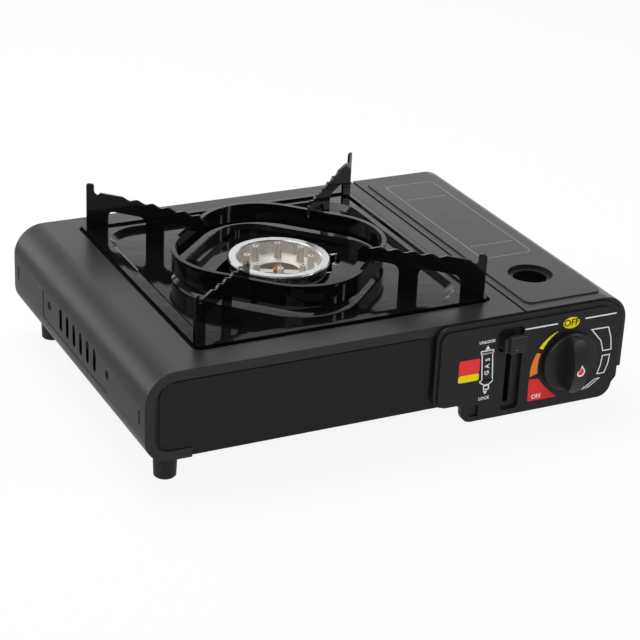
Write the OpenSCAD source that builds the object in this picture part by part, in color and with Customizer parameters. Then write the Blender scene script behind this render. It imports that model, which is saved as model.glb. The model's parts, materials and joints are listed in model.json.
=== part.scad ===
// Portable gas stove for a butane cassette.
// Everything is drawn from the left wall (x), the front sheet (y) and the ground (z),
// and place() then moves the whole stove so that its origin is under its middle.

/* [Case] */
// Width over the case and the closed lid
case_w = 340; // [330:1:370]
// Depth from the front sheet to the rear sheet
case_d = 246; // [240:1:270]
// Height of the deck above the ground
deck_h = 79; // [78:0.5:84]
// Height of the case bottom above the ground
case_floor_h = 19.5; // [17:0.5:21]
// Thickness of the pressed steel sheets
sheet = 0.8; // [0.6:0.1:0.9]
// Radius of the roll from the deck to the left wall
top_r = 21; // [17:0.5:22]
// Radius of the roll from the left wall to the bottom
bottom_r = 16; // [12:0.5:16]
// Width of the turned-in front and rear edges
flange_w = 6.5; // [4:0.5:8]
// How far the case bottom reaches under the stove
lip_w = 31; // [29:1:36]
// Number of upright vents in the left wall
vent_count = 6; // [4:1:7]
// Distance between two vents
vent_pitch = 12.7; // [9:0.1:13]

/* [Lid and bay] */
// Width of the lid
lid_w = 80; // [79:1:84]
// Radius of the lid's outer roll
lid_r = 18; // [14:0.5:20]
// Height of the bay floor's underside above the ground
bay_floor_h = 7.6; // [7:0.1:8]
// Radius of the sight hole in the lid
sight_hole_r = 11.5; // [9:0.5:12]
// Distance of the sight hole from the front sheet
sight_hole_y = 50; // [45:1:60]
// Radius of the gas canister that the bay is made for
canister_r = 33.5; // [33:0.1:33.6]

/* [Control panel] */
// Width of the control panel
panel_w = 140.5; // [138:0.5:145]
// How far the panel stands out from the front sheet
panel_t = 4; // [3.5:0.1:5]
// Height of the panel's lower edge above the ground
panel_low = 8; // [7.8:0.1:10]
// Radius of the gas knob
knob_r = 20.2; // [19:0.1:21.5]
// How far the knob stands out from the panel
knob_h = 16; // [15.8:0.1:26]
// Height of the knob's axis above the ground
knob_z = 40; // [39.5:0.1:42]
// Turn of the knob from OFF to ON in degrees
knob_turn = 135; // [90:1:150]
// Travel of the canister carriage
carriage_travel = 10.6; // [9:0.1:11]
// Swing of the lock lever from UNLOCK to LOCK in degrees
lever_swing = 41.7; // [38:0.1:43]

/* [Burner] */
// Distance of the burner's axis from the seam beside the lid
burner_seam = 115; // [110:0.5:116]
// How far the burner's axis lies behind the middle of the case
burner_back = 3; // [1:0.5:7]
// Outer radius of the burner ring
burner_r = 34.4; // [33:0.1:35]
// Height of the burner ring's top above the ground
burner_top = 83.6; // [83:0.1:85]
// Number of posts in the burner bowl
post_count = 8; // [6:1:10]
// Number of flame ports under the burner ring
port_count = 56; // [24:4:60]
// Outer radius of the mixing tube
mix_r = 9; // [8:0.1:9.5]

/* [Trivet] */
// Side of the square drip tray
tray_size = 205; // [200:1:206]
// How far the tray's rim stands above the deck
tray_proud = 1.5; // [1:0.1:3]
// Depth of the tray from rim to channel floor
tray_depth = 5; // [4:0.1:6]
// Distance from the middle to each flat of the trivet ring
ring_flat = 64.3; // [64:0.1:65]
// Height of the trivet ring's band
ring_h = 14.5; // [12:0.5:16]
// Turn of the loose trivet in its tray in degrees
trivet_turn = -1.2; // [-1.2:0.1:1.2]
// Thickness of a trivet fin
fin_t = 1.6; // [1.2:0.1:2]
// Height of the highest fin point above the ground
prong_top = 111.5; // [110:0.5:118]
// Height of the pan rest at its outer end
rest_h = 106; // [105:0.1:108]
// Number of scallops along a fin's top
scallop_count = 5; // [3:1:6]

/* [Feet and fixings] */
// Upper radius of a foot
foot_r = 7.8; // [7:0.1:9]
// Distance of a foot's axis from the front or rear sheet
foot_y = 17.8; // [16:0.1:22]
// Distance of a left foot's axis from the left wall
foot_left_x = 20.5; // [20:0.1:22]
// Distance of a right foot's axis from the right side
foot_right_x = 22; // [20:0.5:24]

/* [Hidden] */
$fn = 64;

// Clearances
fit_gap = 0.1;
run_gap = 0.05;
play = 0.3;
eps = 0.01;

// Levels and edges of the case
seam_x = case_w - lid_w;
burner_x = seam_x - burner_seam;
burner_y = case_d / 2 + burner_back;
inner_top = deck_h - sheet;
plate_y = sheet;
inner_y0 = 2 * sheet + 2 * fit_gap;
inner_y1 = case_d - inner_y0;
inner_d = inner_y1 - inner_y0;
base_z = case_floor_h + sheet;
base_top = base_z + sheet;
ledge_drop = 2.8;
ledge_z = deck_h - ledge_drop;
tray_gap = 2.2;
open_half = tray_size / 2 + tray_gap;
open_r = 6;
ledge_w = 9.5;
seam_ledge_z = deck_h - 9;
seam_ledge_w = 6;
seam_gap = 1.7;
emboss_h = sheet;
emboss_r = 9.5;

// Vents, tabs and side screws in the left wall
wall_z0 = case_floor_h + bottom_r;
wall_z1 = deck_h - top_r;
wall_mid_z = (wall_z0 + wall_z1) / 2;
vent_w = 5.2;
vent_z0 = wall_z0 + 6.5;
vent_z1 = wall_z1 - 0.6;
vent_mid_y = case_d / 2 - 4.2;
vent_field = [vent_mid_y - 57.8, vent_mid_y + 67.2];
vent_field_z = [wall_z0 + 1.5, wall_z1];
side_screw_y = [vent_mid_y - 54.2, vent_mid_y + 54.7];
side_screw_z = wall_mid_z + 3.25;
baffle_z = [wall_z0 + 5.5, wall_z1 - 1];
baffle_x = 8;
baffle_tab = 14;
tab_z = [wall_mid_z - 3.35, wall_mid_z + 5.85];
tab_y = 8.7;
tab_w = 3;

// Slots in the base plate
base_slot_pitch = 24;
base_slot_y = 70;

// Bay, shield and hinge
bay_x0 = seam_x - 38;
bay_x1 = case_w - 6;
bay_mid = (bay_x0 + bay_x1) / 2;
bay_r = 8;
bay_top = bay_floor_h + sheet;
shield_x = seam_x - 2 * sheet;
shield_foot_w = 7;
shield_foot_len = 39.2;
lead_hole_y = 82;
lead_hole_z = 47;
lead_hole_r = 4.6;
carriage_gap = 0.3;
carriage_t = 1;
carriage_z = bay_top + carriage_gap;
carriage_w = 38;
carriage_len = 138;
carriage_arm = 9;
carriage_pass_h = 5.6;
canister_x = seam_x + 37;
canister_z = carriage_z + carriage_t + canister_r;
hinge_x = case_w - 3.4;
hinge_z = 23.5;
knuckle_r = 3.4;
hinge_pin_r = 1.5;
knuckle_len = 7.8;
knuckle_y0 = 12;
pin_len = 2 * knuckle_len + 4 * fit_gap;
lid_skirt_z = hinge_z + 3.1;
lid_x0 = seam_x + seam_gap;
dish_r = 15.5;
dish_drop = 2.8;
lid_panel_x = [lid_x0 + 6, case_w - lid_r + 3];
lid_panel_y = [9, case_d - 9];
lid_panel_r = 5;
sight_hole_x = seam_x + 35;

// Control panel
panel_x1 = case_w - 4.5;
panel_x0 = panel_x1 - panel_w;
panel_top = deck_h - 1.5;
panel_step_x = panel_x0 + 21;
panel_step_z = case_floor_h + 2;
panel_back = -0.3;
panel_left_r = 8;
panel_low_r = 10;
panel_high_r = 16.5;
panel_rim = 3;
panel_side_rim = 4.2;
panel_rim_drop = 1.2;
panel_corner_z = [15.6, 20.8];
step_fillet = 4;
notch_x = panel_step_x + 5;
notch_z = panel_low + 3.3;
notch_d = 1.6;
knob_x = seam_x + 35;
knob_gap = 0.6;
knob_bore_r = 3.05;
grip_w = 10.4;
grip_arc = 34;
spindle_r = 3;
cam_r = 23;
cam_y = 2;
cam_t = 1.5;
cam_layers = 7;
cam_layer_h = 0.5;
cam_tip = 8;
groove_x = [seam_x - 14.9, seam_x - 1.4];
pocket_x = seam_x - 20;
pocket_z = deck_h - 24;
groove_z = [12, deck_h - 8];
groove_floor = 1;
lever_t = 1.5;
lever_x = seam_x - 9.6;
slot_w = 4;
slot_z = [16.5, deck_h - 13];

// Lock lever: pivot, arm and the cam path of the carriage pin
pivot_y = 38;
pivot_z = 41;
pivot_r = 2.5;
arm_half = 4;
knob_tab_y = -7.6;
knob_tab_z = 60.6;
tab_half = 6.3;
arm_rise = atan2(knob_tab_z - pivot_z, pivot_y - knob_tab_y);
arm_len = norm([pivot_y - knob_tab_y, knob_tab_z - pivot_z]) + 1;
pin_rel = [18, -17];
cam_pin_r = 2;

// Regulator and igniter
reg_x = [seam_x + 23, seam_x + 51];
reg_y = [8, 38];
reg_z = [28, 58];
reg_bracket_t = sheet;
reg_bracket_x = reg_x[0] - 6;
reg_bracket_w = 44;
reg_bracket_over = 3;
reg_bracket_foot = 14;
reg_inlet_y = 15.4;
seat_r = 9;
seat_len = 10;
seat_bore_r = 4.5;
seat_floor = 3.4;
seal_t = 1.6;
ign_x = [seam_x + 5.5, seam_x + 22.8];
ign_y = [12.5, 38];
ign_z = [33, 47.5];
plunger_r = 2.2;
plunger_x = knob_x - 21;
plunger_travel = 4;

// Gas way from the regulator to the burner
mix_turn = atan2(burner_y - reg_inlet_y, reg_x[0] - burner_x);
mix_z = 52;
mix_start = 16;
mix_end = 100;
pipe_r = 2.5;
jet_r = 6;
jet_len = 9;
outlet_len = 5;
to_reg_x = reg_x[0] - burner_x;
pipe_end = to_reg_x / cos(mix_turn) - outlet_len;
pipe_start = mix_end + jet_len;

// Burner
cup_r = 20;
cup_z = 30;
bowl_hole_r = 14.5;
bowl_rim_z = burner_top - 7.7;
bowl_r = burner_r - 2;
ring_bore_r = burner_r - 5.4;
post_r = 2.7;
post_top_r = 2.1;
post_hole_r = 1;
post_circle_r = 21.5;
port_w = 1.8;
bracket_half_w = 12;
bracket_reach = 30;
electrode_x = burner_x + 43;
electrode_z = [48, 72];

// Trivet
rim_top = deck_h + tray_proud;
rim_w = 3.5;
land_z = rim_top - 1.5;
tray_t = 1;
floor_z = rim_top - tray_depth;
tray_half = tray_size / 2;
tray_r = 4;
channel_half = 93;
channel_r = 27;
channel_slope = 4;
pedestal_z = rim_top - 0.5;
pedestal_slope = 5.5;
pedestal_flat = ring_flat - pedestal_slope - 1.8;
pedestal_r = 27;
step_flat = pedestal_flat - 9;
step_r = 18;
hole_flat = step_flat - 12.4;
hole_r = 14;
hole_z = rim_top - 3.5;
ring_t = 1.4;
ring_r = 44;
ring_top = deck_h + 15;
bead_t = 3;
bead_h = 2;
fin_out = sqrt(2) * tray_half - 3;
fin_in = ring_flat - 9.3;
fin_under = ring_top - 3;
prong_w = 5.3;
prong_tip = 1.5;
valley_r = 2.4;
scallop_depth = 1.8;
scallop_from = 116;
scallop_to = 58;
leg_out_in = 126;
leg_mid_out = 97;
leg_mid_in = 84;
window_top = ring_top;
window_r = 5;

// Middle of the stove's outline from front to back
mid_y = (case_d - panel_t - knob_h) / 2;

module place() translate([-case_w / 2, -mid_y, 0]) children();

// An outline drawn in x and z, made solid from y0 towards the back
module xz(y0, depth) translate([0, y0 + depth, 0]) rotate([90, 0, 0]) linear_extrude(depth) children();

// An outline drawn in y and z, made solid from x0 towards the right
module yz(x0, width) translate([x0, 0, 0]) rotate([90, 0, 90]) linear_extrude(width) children();

// A round bar along the depth
module bar_y(x, z, y0, len, r) translate([x, y0, z]) rotate([-90, 0, 0]) cylinder(h = len, r = r);

// A round bar along the width
module bar_x(y, z, x0, len, r) translate([x0, y, z]) rotate([0, 90, 0]) cylinder(h = len, r = r);

// A rectangle with four round corners
module rounded(x0, z0, x1, z1, r) {
    translate([x0 + r, z0]) square([x1 - x0 - 2 * r, z1 - z0]);
    translate([x0, z0 + r]) square([x1 - x0, z1 - z0 - 2 * r]);
    for (x = [x0 + r, x1 - r], z = [z0 + r, z1 - r]) translate([x, z]) circle(r);
}

module rounded_square(half, r) rounded(-half, -half, half, half, r);

// The same square turned to stand on its corner
module diamond(flat, r) rotate(45) rounded_square(flat, r);

// Outline of the case, drawn a distance i inside its outer face
module case_profile(i) {
    translate([top_r, case_floor_h + i]) square([seam_x - top_r, deck_h - case_floor_h - 2 * i]);
    translate([i, case_floor_h + bottom_r]) square([top_r - i, deck_h - top_r - case_floor_h - bottom_r]);
    translate([bottom_r, case_floor_h + i]) square([top_r - bottom_r + eps, bottom_r]);
    translate([top_r, deck_h - top_r]) circle(top_r - i);
    translate([bottom_r, case_floor_h + bottom_r]) circle(bottom_r - i);
}

// Outline of the lid, drawn a distance i inside its outer face
module lid_profile(i, x0, z0) {
    translate([x0, z0]) square([case_w - lid_r - x0, deck_h - i - z0]);
    translate([case_w - lid_r, z0]) square([lid_r - i, deck_h - lid_r - z0]);
    translate([case_w - lid_r, deck_h - lid_r]) circle(lid_r - i);
}

// What is cut away under the case, right of its bottom lip
module lip_cut() translate([lip_w, case_floor_h - 1]) square([case_w, deck_h - case_floor_h - flange_w - 3]);

module vent_slots(x0, width) {
    for (k = [0 : vent_count - 1]) {
        y = vent_mid_y + (k - (vent_count - 1) / 2) * vent_pitch;
        yz(x0, width) rounded(y - vent_w / 2, vent_z0, y + vent_w / 2, vent_z1, vent_w / 2 - eps);
    }
}

module case_shell() color("#3b3a3a") place() difference() {
    union() {
        xz(0, case_d) difference() {
            case_profile(0);
            case_profile(sheet);
            translate([lip_w, case_floor_h - 1]) square([case_w, 2 * sheet + 1]);
        }
        for (y = [0, case_d - sheet]) xz(y, sheet) difference() {
            case_profile(0);
            case_profile(flange_w);
            lip_cut();
        }
        translate([seam_x - sheet, inner_y0, seam_ledge_z])
            cube([sheet, inner_d, deck_h - seam_ledge_z - eps]);
        translate([seam_x - sheet, inner_y0, seam_ledge_z]) cube([seam_ledge_w, inner_d, sheet]);
        translate([burner_x, burner_y, ledge_z - sheet])
            linear_extrude(ledge_drop + sheet) rounded_square(open_half + sheet, open_r + sheet);
    }
    translate([burner_x, burner_y, ledge_z])
        linear_extrude(ledge_drop + 1) rounded_square(open_half, open_r);
    translate([burner_x, burner_y, ledge_z - 2])
        linear_extrude(4) rounded_square(open_half - ledge_w, open_r);
    vent_slots(-1, sheet + 2);
    yz(-1, 1 + sheet / 3) rounded(vent_field[0], vent_field_z[0], vent_field[1], vent_field_z[1], 3);
    for (y = [tab_y, case_d - tab_y]) translate([-1, y - tab_w / 2, tab_z[0]])
        cube([sheet + 2, tab_w, tab_z[1] - tab_z[0]]);
    for (y = side_screw_y) {
        bar_x(y, side_screw_z, -1, 1 + sheet * 0.6, 3.3);
        bar_x(y, side_screw_z, -1, sheet + 2, 1.6);
    }
    for (y = [foot_y, case_d - foot_y]) translate([foot_left_x, y, case_floor_h - 1])
        cylinder(h = 3, r = 1.9);
}

// Outline of the two end plates, which close the case and the bay
module end_outline() {
    case_profile(sheet + fit_gap);
    intersection() {
        lid_profile(sheet + play, seam_x - 1, case_floor_h + sheet + fit_gap);
        square([bay_x1, deck_h]);
    }
    rounded(bay_x0 + sheet + fit_gap, bay_top + fit_gap,
        bay_x1 - sheet - fit_gap, deck_h - 20, bay_r - sheet);
}

// An end plate with a pressed-out panel from x0 to x1
module end_plate(x0, x1) {
    difference() {
        xz(plate_y, sheet) end_outline();
        xz(plate_y - 1, sheet + 2)
            rounded(x0 + sheet, 27 + sheet, x1 - sheet, deck_h - flange_w - 1.6, emboss_r - sheet);
    }
    xz(plate_y - emboss_h, emboss_h) rounded(x0, 27, x1, deck_h - flange_w - 0.8, emboss_r);
    translate([sheet + fit_gap, 2 * sheet, tab_z[0]]) cube([sheet, 10, tab_z[1] - tab_z[0]]);
    translate([fit_gap, tab_y - tab_w / 4, tab_z[0] + 1])
        cube([sheet + fit_gap, tab_w / 2, tab_z[1] - tab_z[0] - 2]);
}

module front_plate() color("#2b2a2b") place() difference() {
    end_plate(9.3, panel_x0 - 2);
    xz(plate_y - 1, 4)
        rounded(lever_x - slot_w / 2 - 0.5, slot_z[0] - 1, lever_x + slot_w / 2 + 0.5, slot_z[1] + 1, 2);
    bar_y(knob_x, knob_z, -2, 6, 9);
    for (p = panel_screw_points()) bar_y(p[0], p[1], -2, 6, 1.5);
}

module rear_plate() color("#2b2a2b") place() translate([0, case_d, 0]) mirror([0, 1, 0]) difference() {
    end_plate(9.3, seam_x - 14);
    for (k = [0 : 6]) xz(plate_y - 1, 4)
        rounded(seam_x + 10 + 9 * k, 28, seam_x + 13.5 + 9 * k, 60, 1.7);
}

module base_plate() color("#4a4a4c") place() difference() {
    translate([bottom_r + 0.5, inner_y0, base_z]) cube([bay_x0 - bottom_r - 0.5 - fit_gap, inner_d, sheet]);
    for (y = [foot_y, case_d - foot_y]) translate([foot_left_x, y, base_z - 1]) cylinder(h = 3, r = 1.9);
    for (k = [-3 : 3], s = [-1, 1])
        translate([burner_x + base_slot_pitch * k, burner_y + s * base_slot_y, base_z - 1])
            linear_extrude(3) rounded(-4, -20, 4, 20, 3.9);
    for (p = bracket_screw_points()) translate([p[0], p[1], base_z - 1]) cylinder(h = 3, r = 1.4);
}

module bay_trough() color("#4a4a4c") place() difference() {
    union() {
        xz(inner_y0, inner_d) difference() {
            rounded(bay_x0, bay_floor_h, bay_x1, deck_h - 20, bay_r);
            rounded(bay_x0 + sheet, bay_top, bay_x1 - sheet, deck_h - 20 + bay_r, bay_r - sheet);
            translate([bay_x0 - 1, case_floor_h + sheet]) square([bay_mid - bay_x0 + 1, deck_h]);
            translate([bay_mid - 1, hinge_z - knuckle_r - play]) square([bay_x1, deck_h]);
        }
        translate([bay_x0 - 10, inner_y0, case_floor_h]) cube([10 + sheet, inner_d, sheet]);
        for (y = [knuckle_y0 + knuckle_len + 4 * fit_gap,
            case_d - knuckle_y0 - 2 * knuckle_len - 4 * fit_gap]) {
            bar_y(hinge_x, hinge_z, y, knuckle_len, knuckle_r);
            translate([bay_x1 - sheet, y, hinge_z - knuckle_r - 1])
                cube([sheet, knuckle_len, knuckle_r + 1]);
        }
    }
    bar_y(hinge_x, hinge_z, 0, case_d, hinge_pin_r + run_gap);
    for (y = [foot_y, case_d - foot_y]) translate([case_w - foot_right_x, y, bay_floor_h - 1])
        cylinder(h = 3, r = 1.9);
    for (k = [0 : 3]) translate([seam_x - 26, 130 + 26 * k, bay_floor_h - 1])
        linear_extrude(3) rounded(-6, -8, 6, 8, 3);
}

module heat_shield() color("#8d9093") place() difference() {
    union() {
        translate([shield_x, inner_y0, bay_top]) cube([sheet, inner_d, seam_ledge_z - bay_top]);
        translate([shield_x, inner_y0, seam_ledge_z - sheet]) cube([seam_ledge_w, inner_d, sheet]);
        translate([shield_x, inner_y1 - shield_foot_len, bay_top])
            cube([shield_foot_w, shield_foot_len, sheet]);
    }
    bar_x(burner_y - (shield_x - burner_x) * tan(mix_turn), mix_z, shield_x - 1, 4, pipe_r + 2.5);
    bar_x(lead_hole_y, lead_hole_z, shield_x - 1, 4, lead_hole_r);
    bar_x(pivot_y, pivot_z, shield_x - 1, 4, 1.6);
    translate([shield_x - 1, pivot_y, bay_top - 1])
        cube([4, pin_rel[0] + carriage_arm, carriage_pass_h]);
}

module vent_baffle() color("#6f7174") place() difference() {
    h = baffle_z[1] - baffle_z[0];
    y0 = side_screw_y[0] + baffle_tab / 2;
    y1 = side_screw_y[1] - baffle_tab / 2;
    translate([0, 0, baffle_z[0]]) {
        for (y = side_screw_y) translate([sheet, y - baffle_tab / 2, 0]) cube([sheet, baffle_tab, h]);
        for (y = [y0, y1 - sheet]) translate([sheet, y, 0]) cube([baffle_x, sheet, h]);
        translate([baffle_x, y0, 0]) cube([sheet, y1 - y0, h]);
    }
    for (y = side_screw_y) bar_x(y, side_screw_z, 0, 3, 1.6);
}

// Where the panel's screws stand
function panel_screw_points() =
    [[panel_x0 + 9, 31], [panel_x0 + 9, 64], [panel_x1 - 11, 31], [panel_x1 - 11, 64]];

// The panel's raised face, which leaves a lower rim at the left, top and right
module panel_face() {
    x1 = panel_x1 - panel_side_rim;
    top = panel_top - panel_rim;
    rounded(panel_x0 + panel_rim, panel_step_z, panel_x0 + 60, top, panel_left_r - panel_rim / 2);
    rounded(panel_step_x, panel_low, x1 - 40, top, panel_left_r);
    rounded(x1 - 60, panel_low, x1, panel_low + 45, panel_low_r);
    rounded(x1 - 60, panel_low + 20, x1, top, panel_high_r - panel_rim);
    difference() {
        translate([panel_step_x - step_fillet, panel_step_z - step_fillet]) square(step_fillet + 1);
        translate([panel_step_x - step_fillet, panel_step_z - step_fillet]) circle(step_fillet);
    }
}

// The panel's full outline, whose side rim ends in a slanted step above the lower corner
module panel_outline() {
    x = panel_x1 - panel_side_rim;
    panel_face();
    rounded(panel_x0, panel_step_z, panel_x0 + 60, panel_top, panel_left_r);
    rounded(panel_x0 + 20, panel_step_z, panel_x1, panel_top, panel_high_r);
    polygon([[x - 30, panel_corner_z[0]], [x, panel_corner_z[0]], [panel_x1, panel_corner_z[1]],
        [panel_x1, deck_h / 2], [x - 30, deck_h / 2]]);
}

module control_panel() color("#1b1b1d") place() difference() {
    union() {
        xz(-panel_t, panel_t + panel_back) panel_face();
        xz(panel_rim_drop - panel_t, panel_t - panel_rim_drop + panel_back) panel_outline();
        xz(panel_back, plate_y - panel_back) difference() {
            rounded(panel_x0 + 4, case_floor_h + 4.5, panel_x1 - 4.5, deck_h - 8, 4);
            rounded(panel_x0 + 6, case_floor_h + 6.5, panel_x1 - 6.5, deck_h - 10, 3);
        }
        for (p = panel_screw_points()) bar_y(p[0], p[1], panel_back, plate_y - panel_back, 3.5);
    }
    xz(-panel_t - 1, panel_t + 1 + panel_back - groove_floor)
        rounded(groove_x[0], groove_z[0], groove_x[1], groove_z[1], 3);
    xz(-panel_t - 1, panel_t + 1 + panel_back - groove_floor)
        rounded(pocket_x, pocket_z, groove_x[1], groove_z[1], 3);
    xz(-panel_t - 1, panel_t + 4)
        rounded(lever_x - slot_w / 2, slot_z[0], lever_x + slot_w / 2, slot_z[1], slot_w / 2 - eps);
    xz(-panel_t - 1, 1 + notch_d) translate([notch_x, notch_z])
        polygon([[2.5, 0], [7.7, 0], [7.7, 8], [0, 8], [0, 2.5]]);
    bar_y(knob_x, knob_z, -panel_t - 1, panel_t + 4, 8);
    for (p = panel_screw_points()) bar_y(p[0], p[1], -panel_t + 1.5, panel_t + 2, 1.2);
}

module gas_knob() color("#161617")
place() translate([knob_x, -panel_t, knob_z]) rotate([90, 0, 0]) difference() {
    union() {
        rotate_extrude()
            polygon([[0, knob_gap], [knob_r, knob_gap], [knob_r, 3.2], [knob_r - 0.8, 4], [0, 4]]);
        translate([0, 0, -2.6]) cylinder(h = knob_gap + 2.7, r = 7.4);
        intersection() {
            translate([0, 0, 3]) linear_extrude(knob_h - 3)
                rounded(-grip_w / 2, 1 - knob_r, grip_w / 2, knob_r - 1, grip_w / 2 - 0.5);
            translate([0, 0, knob_h - grip_arc]) rotate([0, 90, 0])
                cylinder(h = 2 * knob_r, r = grip_arc, center = true);
        }
    }
    translate([0, 0, -4]) cylinder(h = 19, r = knob_bore_r);
}

// The spindle carries a face cam, whose steps push the igniter's plunger back as the knob turns
module valve_spindle() color("#c9a55a") place() {
    bar_y(knob_x, knob_z, -panel_t - 14, panel_t + 14 + 18, spindle_r);
    bar_y(knob_x, knob_z, cam_y, cam_t, cam_r);
    for (k = [1 : cam_layers])
        translate([knob_x, cam_y + cam_t + k * cam_layer_h, knob_z]) rotate([90, 0, 0])
        rotate([0, 0, 180 - knob_turn - cam_tip])
        rotate_extrude(angle = knob_turn * (1 - k / (cam_layers + 1)))
            translate([cam_r - 6, 0]) square([6, k * cam_layer_h + eps]);
}

// Places what lies along the gas way, a distance d from the burner's axis
module gas_way(d) translate([burner_x, burner_y, mix_z]) rotate([0, 0, -mix_turn])
    translate([d, 0, 0]) rotate([0, 90, 0]) children();

module regulator_body() color("#b9b9b4") place() difference() {
    union() {
        xz(reg_y[0], reg_y[1] - reg_y[0]) rounded(reg_x[0], reg_z[0], reg_x[1], reg_z[1], 5);
        bar_y(knob_x, knob_z, reg_y[0] - 1.5, 2, 7);
        gas_way(pipe_end) cylinder(h = outlet_len + 6, r = 4.4);
    }
    bar_y(knob_x, knob_z, 0, 22, spindle_r + run_gap);
    gas_way(pipe_end - 1) cylinder(h = 4, r = pipe_r + run_gap);
    translate([ign_x[0], ign_y[0] - 1, ign_z[0] - 1])
        cube([ign_x[1] - ign_x[0] + fit_gap, ign_y[1] - ign_y[0] + 2, ign_z[1] - ign_z[0] + 1 + fit_gap]);
}

module regulator_bracket() color("#8d9093") place() {
    xz(reg_y[1], reg_bracket_t) difference() {
        translate([reg_bracket_x, bay_top])
            square([reg_bracket_w, reg_z[1] + reg_bracket_over - bay_top]);
        translate([canister_x, canister_z]) circle(seat_r + fit_gap);
    }
    translate([reg_bracket_x, reg_y[1] - reg_bracket_foot, bay_top])
        cube([reg_bracket_w, reg_bracket_foot + reg_bracket_t, sheet]);
}

module canister_seat() color("#c9a55a") place() difference() {
    bar_y(canister_x, canister_z, reg_y[1], seat_len, seat_r);
    bar_y(canister_x, canister_z, reg_y[1] + seat_floor, seat_len, seat_bore_r);
    bar_y(canister_x, canister_z, reg_y[1] + seat_floor - seal_t, seal_t + 1, 4);
    bar_y(canister_x, canister_z, reg_y[1] - 1, seat_len, 0.8);
}

module seal_ring() color("#202020") place() difference() {
    bar_y(canister_x, canister_z, reg_y[1] + seat_floor - seal_t, seal_t, 4 - run_gap);
    bar_y(canister_x, canister_z, reg_y[1], seat_len, 2);
}

module gas_pipe() color("#c2c4c6") place() difference() {
    gas_way(pipe_start - 3) cylinder(h = pipe_end - pipe_start + 6, r = pipe_r);
    gas_way(pipe_start - 4) cylinder(h = pipe_end - pipe_start + 8, r = pipe_r - 0.7);
}

module jet_holder() color("#c9a55a") place() difference() {
    union() {
        gas_way(mix_end) cylinder(h = jet_len, r = jet_r, $fn = 6);
        gas_way(mix_end - 4) cylinder(h = 5, r = 2.5);
    }
    gas_way(pipe_start - 3 - fit_gap) cylinder(h = 5, r = pipe_r + run_gap);
    gas_way(mix_end - 5) cylinder(h = jet_len, r = 0.6);
}

module mixing_tube() color("#a9abad") place() difference() {
    gas_way(mix_start) cylinder(h = mix_end - mix_start, r = mix_r);
    gas_way(mix_start - 1) cylinder(h = mix_end - mix_start, r = mix_r - sheet);
    gas_way(mix_end - 3) cylinder(h = 4, r = 2.5 + run_gap);
    for (a = [45, 135]) gas_way(mix_end - 15) rotate([0, 0, a]) translate([0, 0, 5]) rotate([90, 0, 0])
        translate([0, 0, -mix_r - 2]) linear_extrude(2 * mix_r + 4) rounded(-3, -5, 3, 5, 2.9);
}

module burner_base() color("#b4b4b0") place() difference() {
    translate([burner_x, burner_y, 0]) difference() {
        union() {
            rotate_extrude() polygon([[0, cup_z], [cup_r, cup_z], [cup_r, bowl_rim_z - 12.9],
                [bowl_r - 5.4, bowl_rim_z - 6.9], [bowl_r, bowl_rim_z - 1.6], [bowl_r, bowl_rim_z],
                [ring_bore_r, bowl_rim_z], [ring_bore_r, burner_top - 1.2],
                [ring_bore_r - 0.9, burner_top - 1.2], [ring_bore_r - 1.6, bowl_rim_z - 0.9],
                [bowl_hole_r, bowl_rim_z - 2.6], [bowl_hole_r, bowl_rim_z - 9.9],
                [cup_r - 2.6, bowl_rim_z - 14.9], [cup_r - 2.6, cup_z + 3], [0, cup_z + 3]]);
            for (k = [0 : post_count - 1]) rotate([0, 0, 360 * (k + 0.5) / post_count])
                translate([post_circle_r, 0, bowl_rim_z - 2.4])
                    cylinder(h = burner_top - bowl_rim_z + 3.4, r1 = post_r, r2 = post_top_r);
        }
        for (k = [0 : post_count - 1]) rotate([0, 0, 360 * (k + 0.5) / post_count])
            translate([post_circle_r, 0, burner_top - 6]) cylinder(h = 8, r = post_hole_r);
    }
    gas_way(mix_start - 1) cylinder(h = 12, r = mix_r + fit_gap);
}

module burner_ring() color("#d9dadb") place() translate([burner_x, burner_y, 0]) difference() {
    bore = ring_bore_r + fit_gap;
    rotate_extrude() polygon([[bore, bowl_rim_z], [bowl_r + 0.2, bowl_rim_z],
        [bowl_r + 0.5, burner_top - 2.6], [burner_r, burner_top - 2.2], [burner_r, burner_top - 0.9],
        [burner_r - 0.8, burner_top], [ring_bore_r, burner_top], [ring_bore_r - 0.6, burner_top - 0.6],
        [ring_bore_r - 0.6, burner_top - 1.1], [bore, burner_top - 1.1]]);
    for (k = [0 : port_count - 1]) rotate([0, 0, 360 * k / port_count])
        translate([ring_bore_r - fit_gap, -port_w / 2, burner_top - 4.8]) cube([7, port_w, 2.4]);
}

module burner_bar() color("#a7a7a3")
place() translate([burner_x, burner_y, bowl_rim_z - 4.6]) rotate([0, 0, -25])
    difference() {
        intersection() {
            translate([-20, -2.8, 0]) cube([40, 5.6, 1.8]);
            cylinder(h = 3, r = bowl_hole_r - fit_gap);
        }
        translate([0, 0, -1]) cylinder(h = 4, r = 1.6);
    }

module burner_nozzle() color("#c79a4b")
place() translate([burner_x, burner_y, bowl_rim_z - 2.8]) difference() {
    union() {
        cylinder(h = 1.8, r = 4, $fn = 6);
        translate([0, 0, -4]) cylinder(h = 5, r = 1.5);
        translate([0, 0, 1.7]) cylinder(h = 2.2, r = 2.2);
    }
    translate([0, 0, 1]) cylinder(h = 4, r = 0.6);
}

// Where the burner bracket is screwed to the base plate
function bracket_screw_points() = [for (s = [-1, 1]) [burner_x + s * (bracket_reach + 6), burner_y]];

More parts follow.
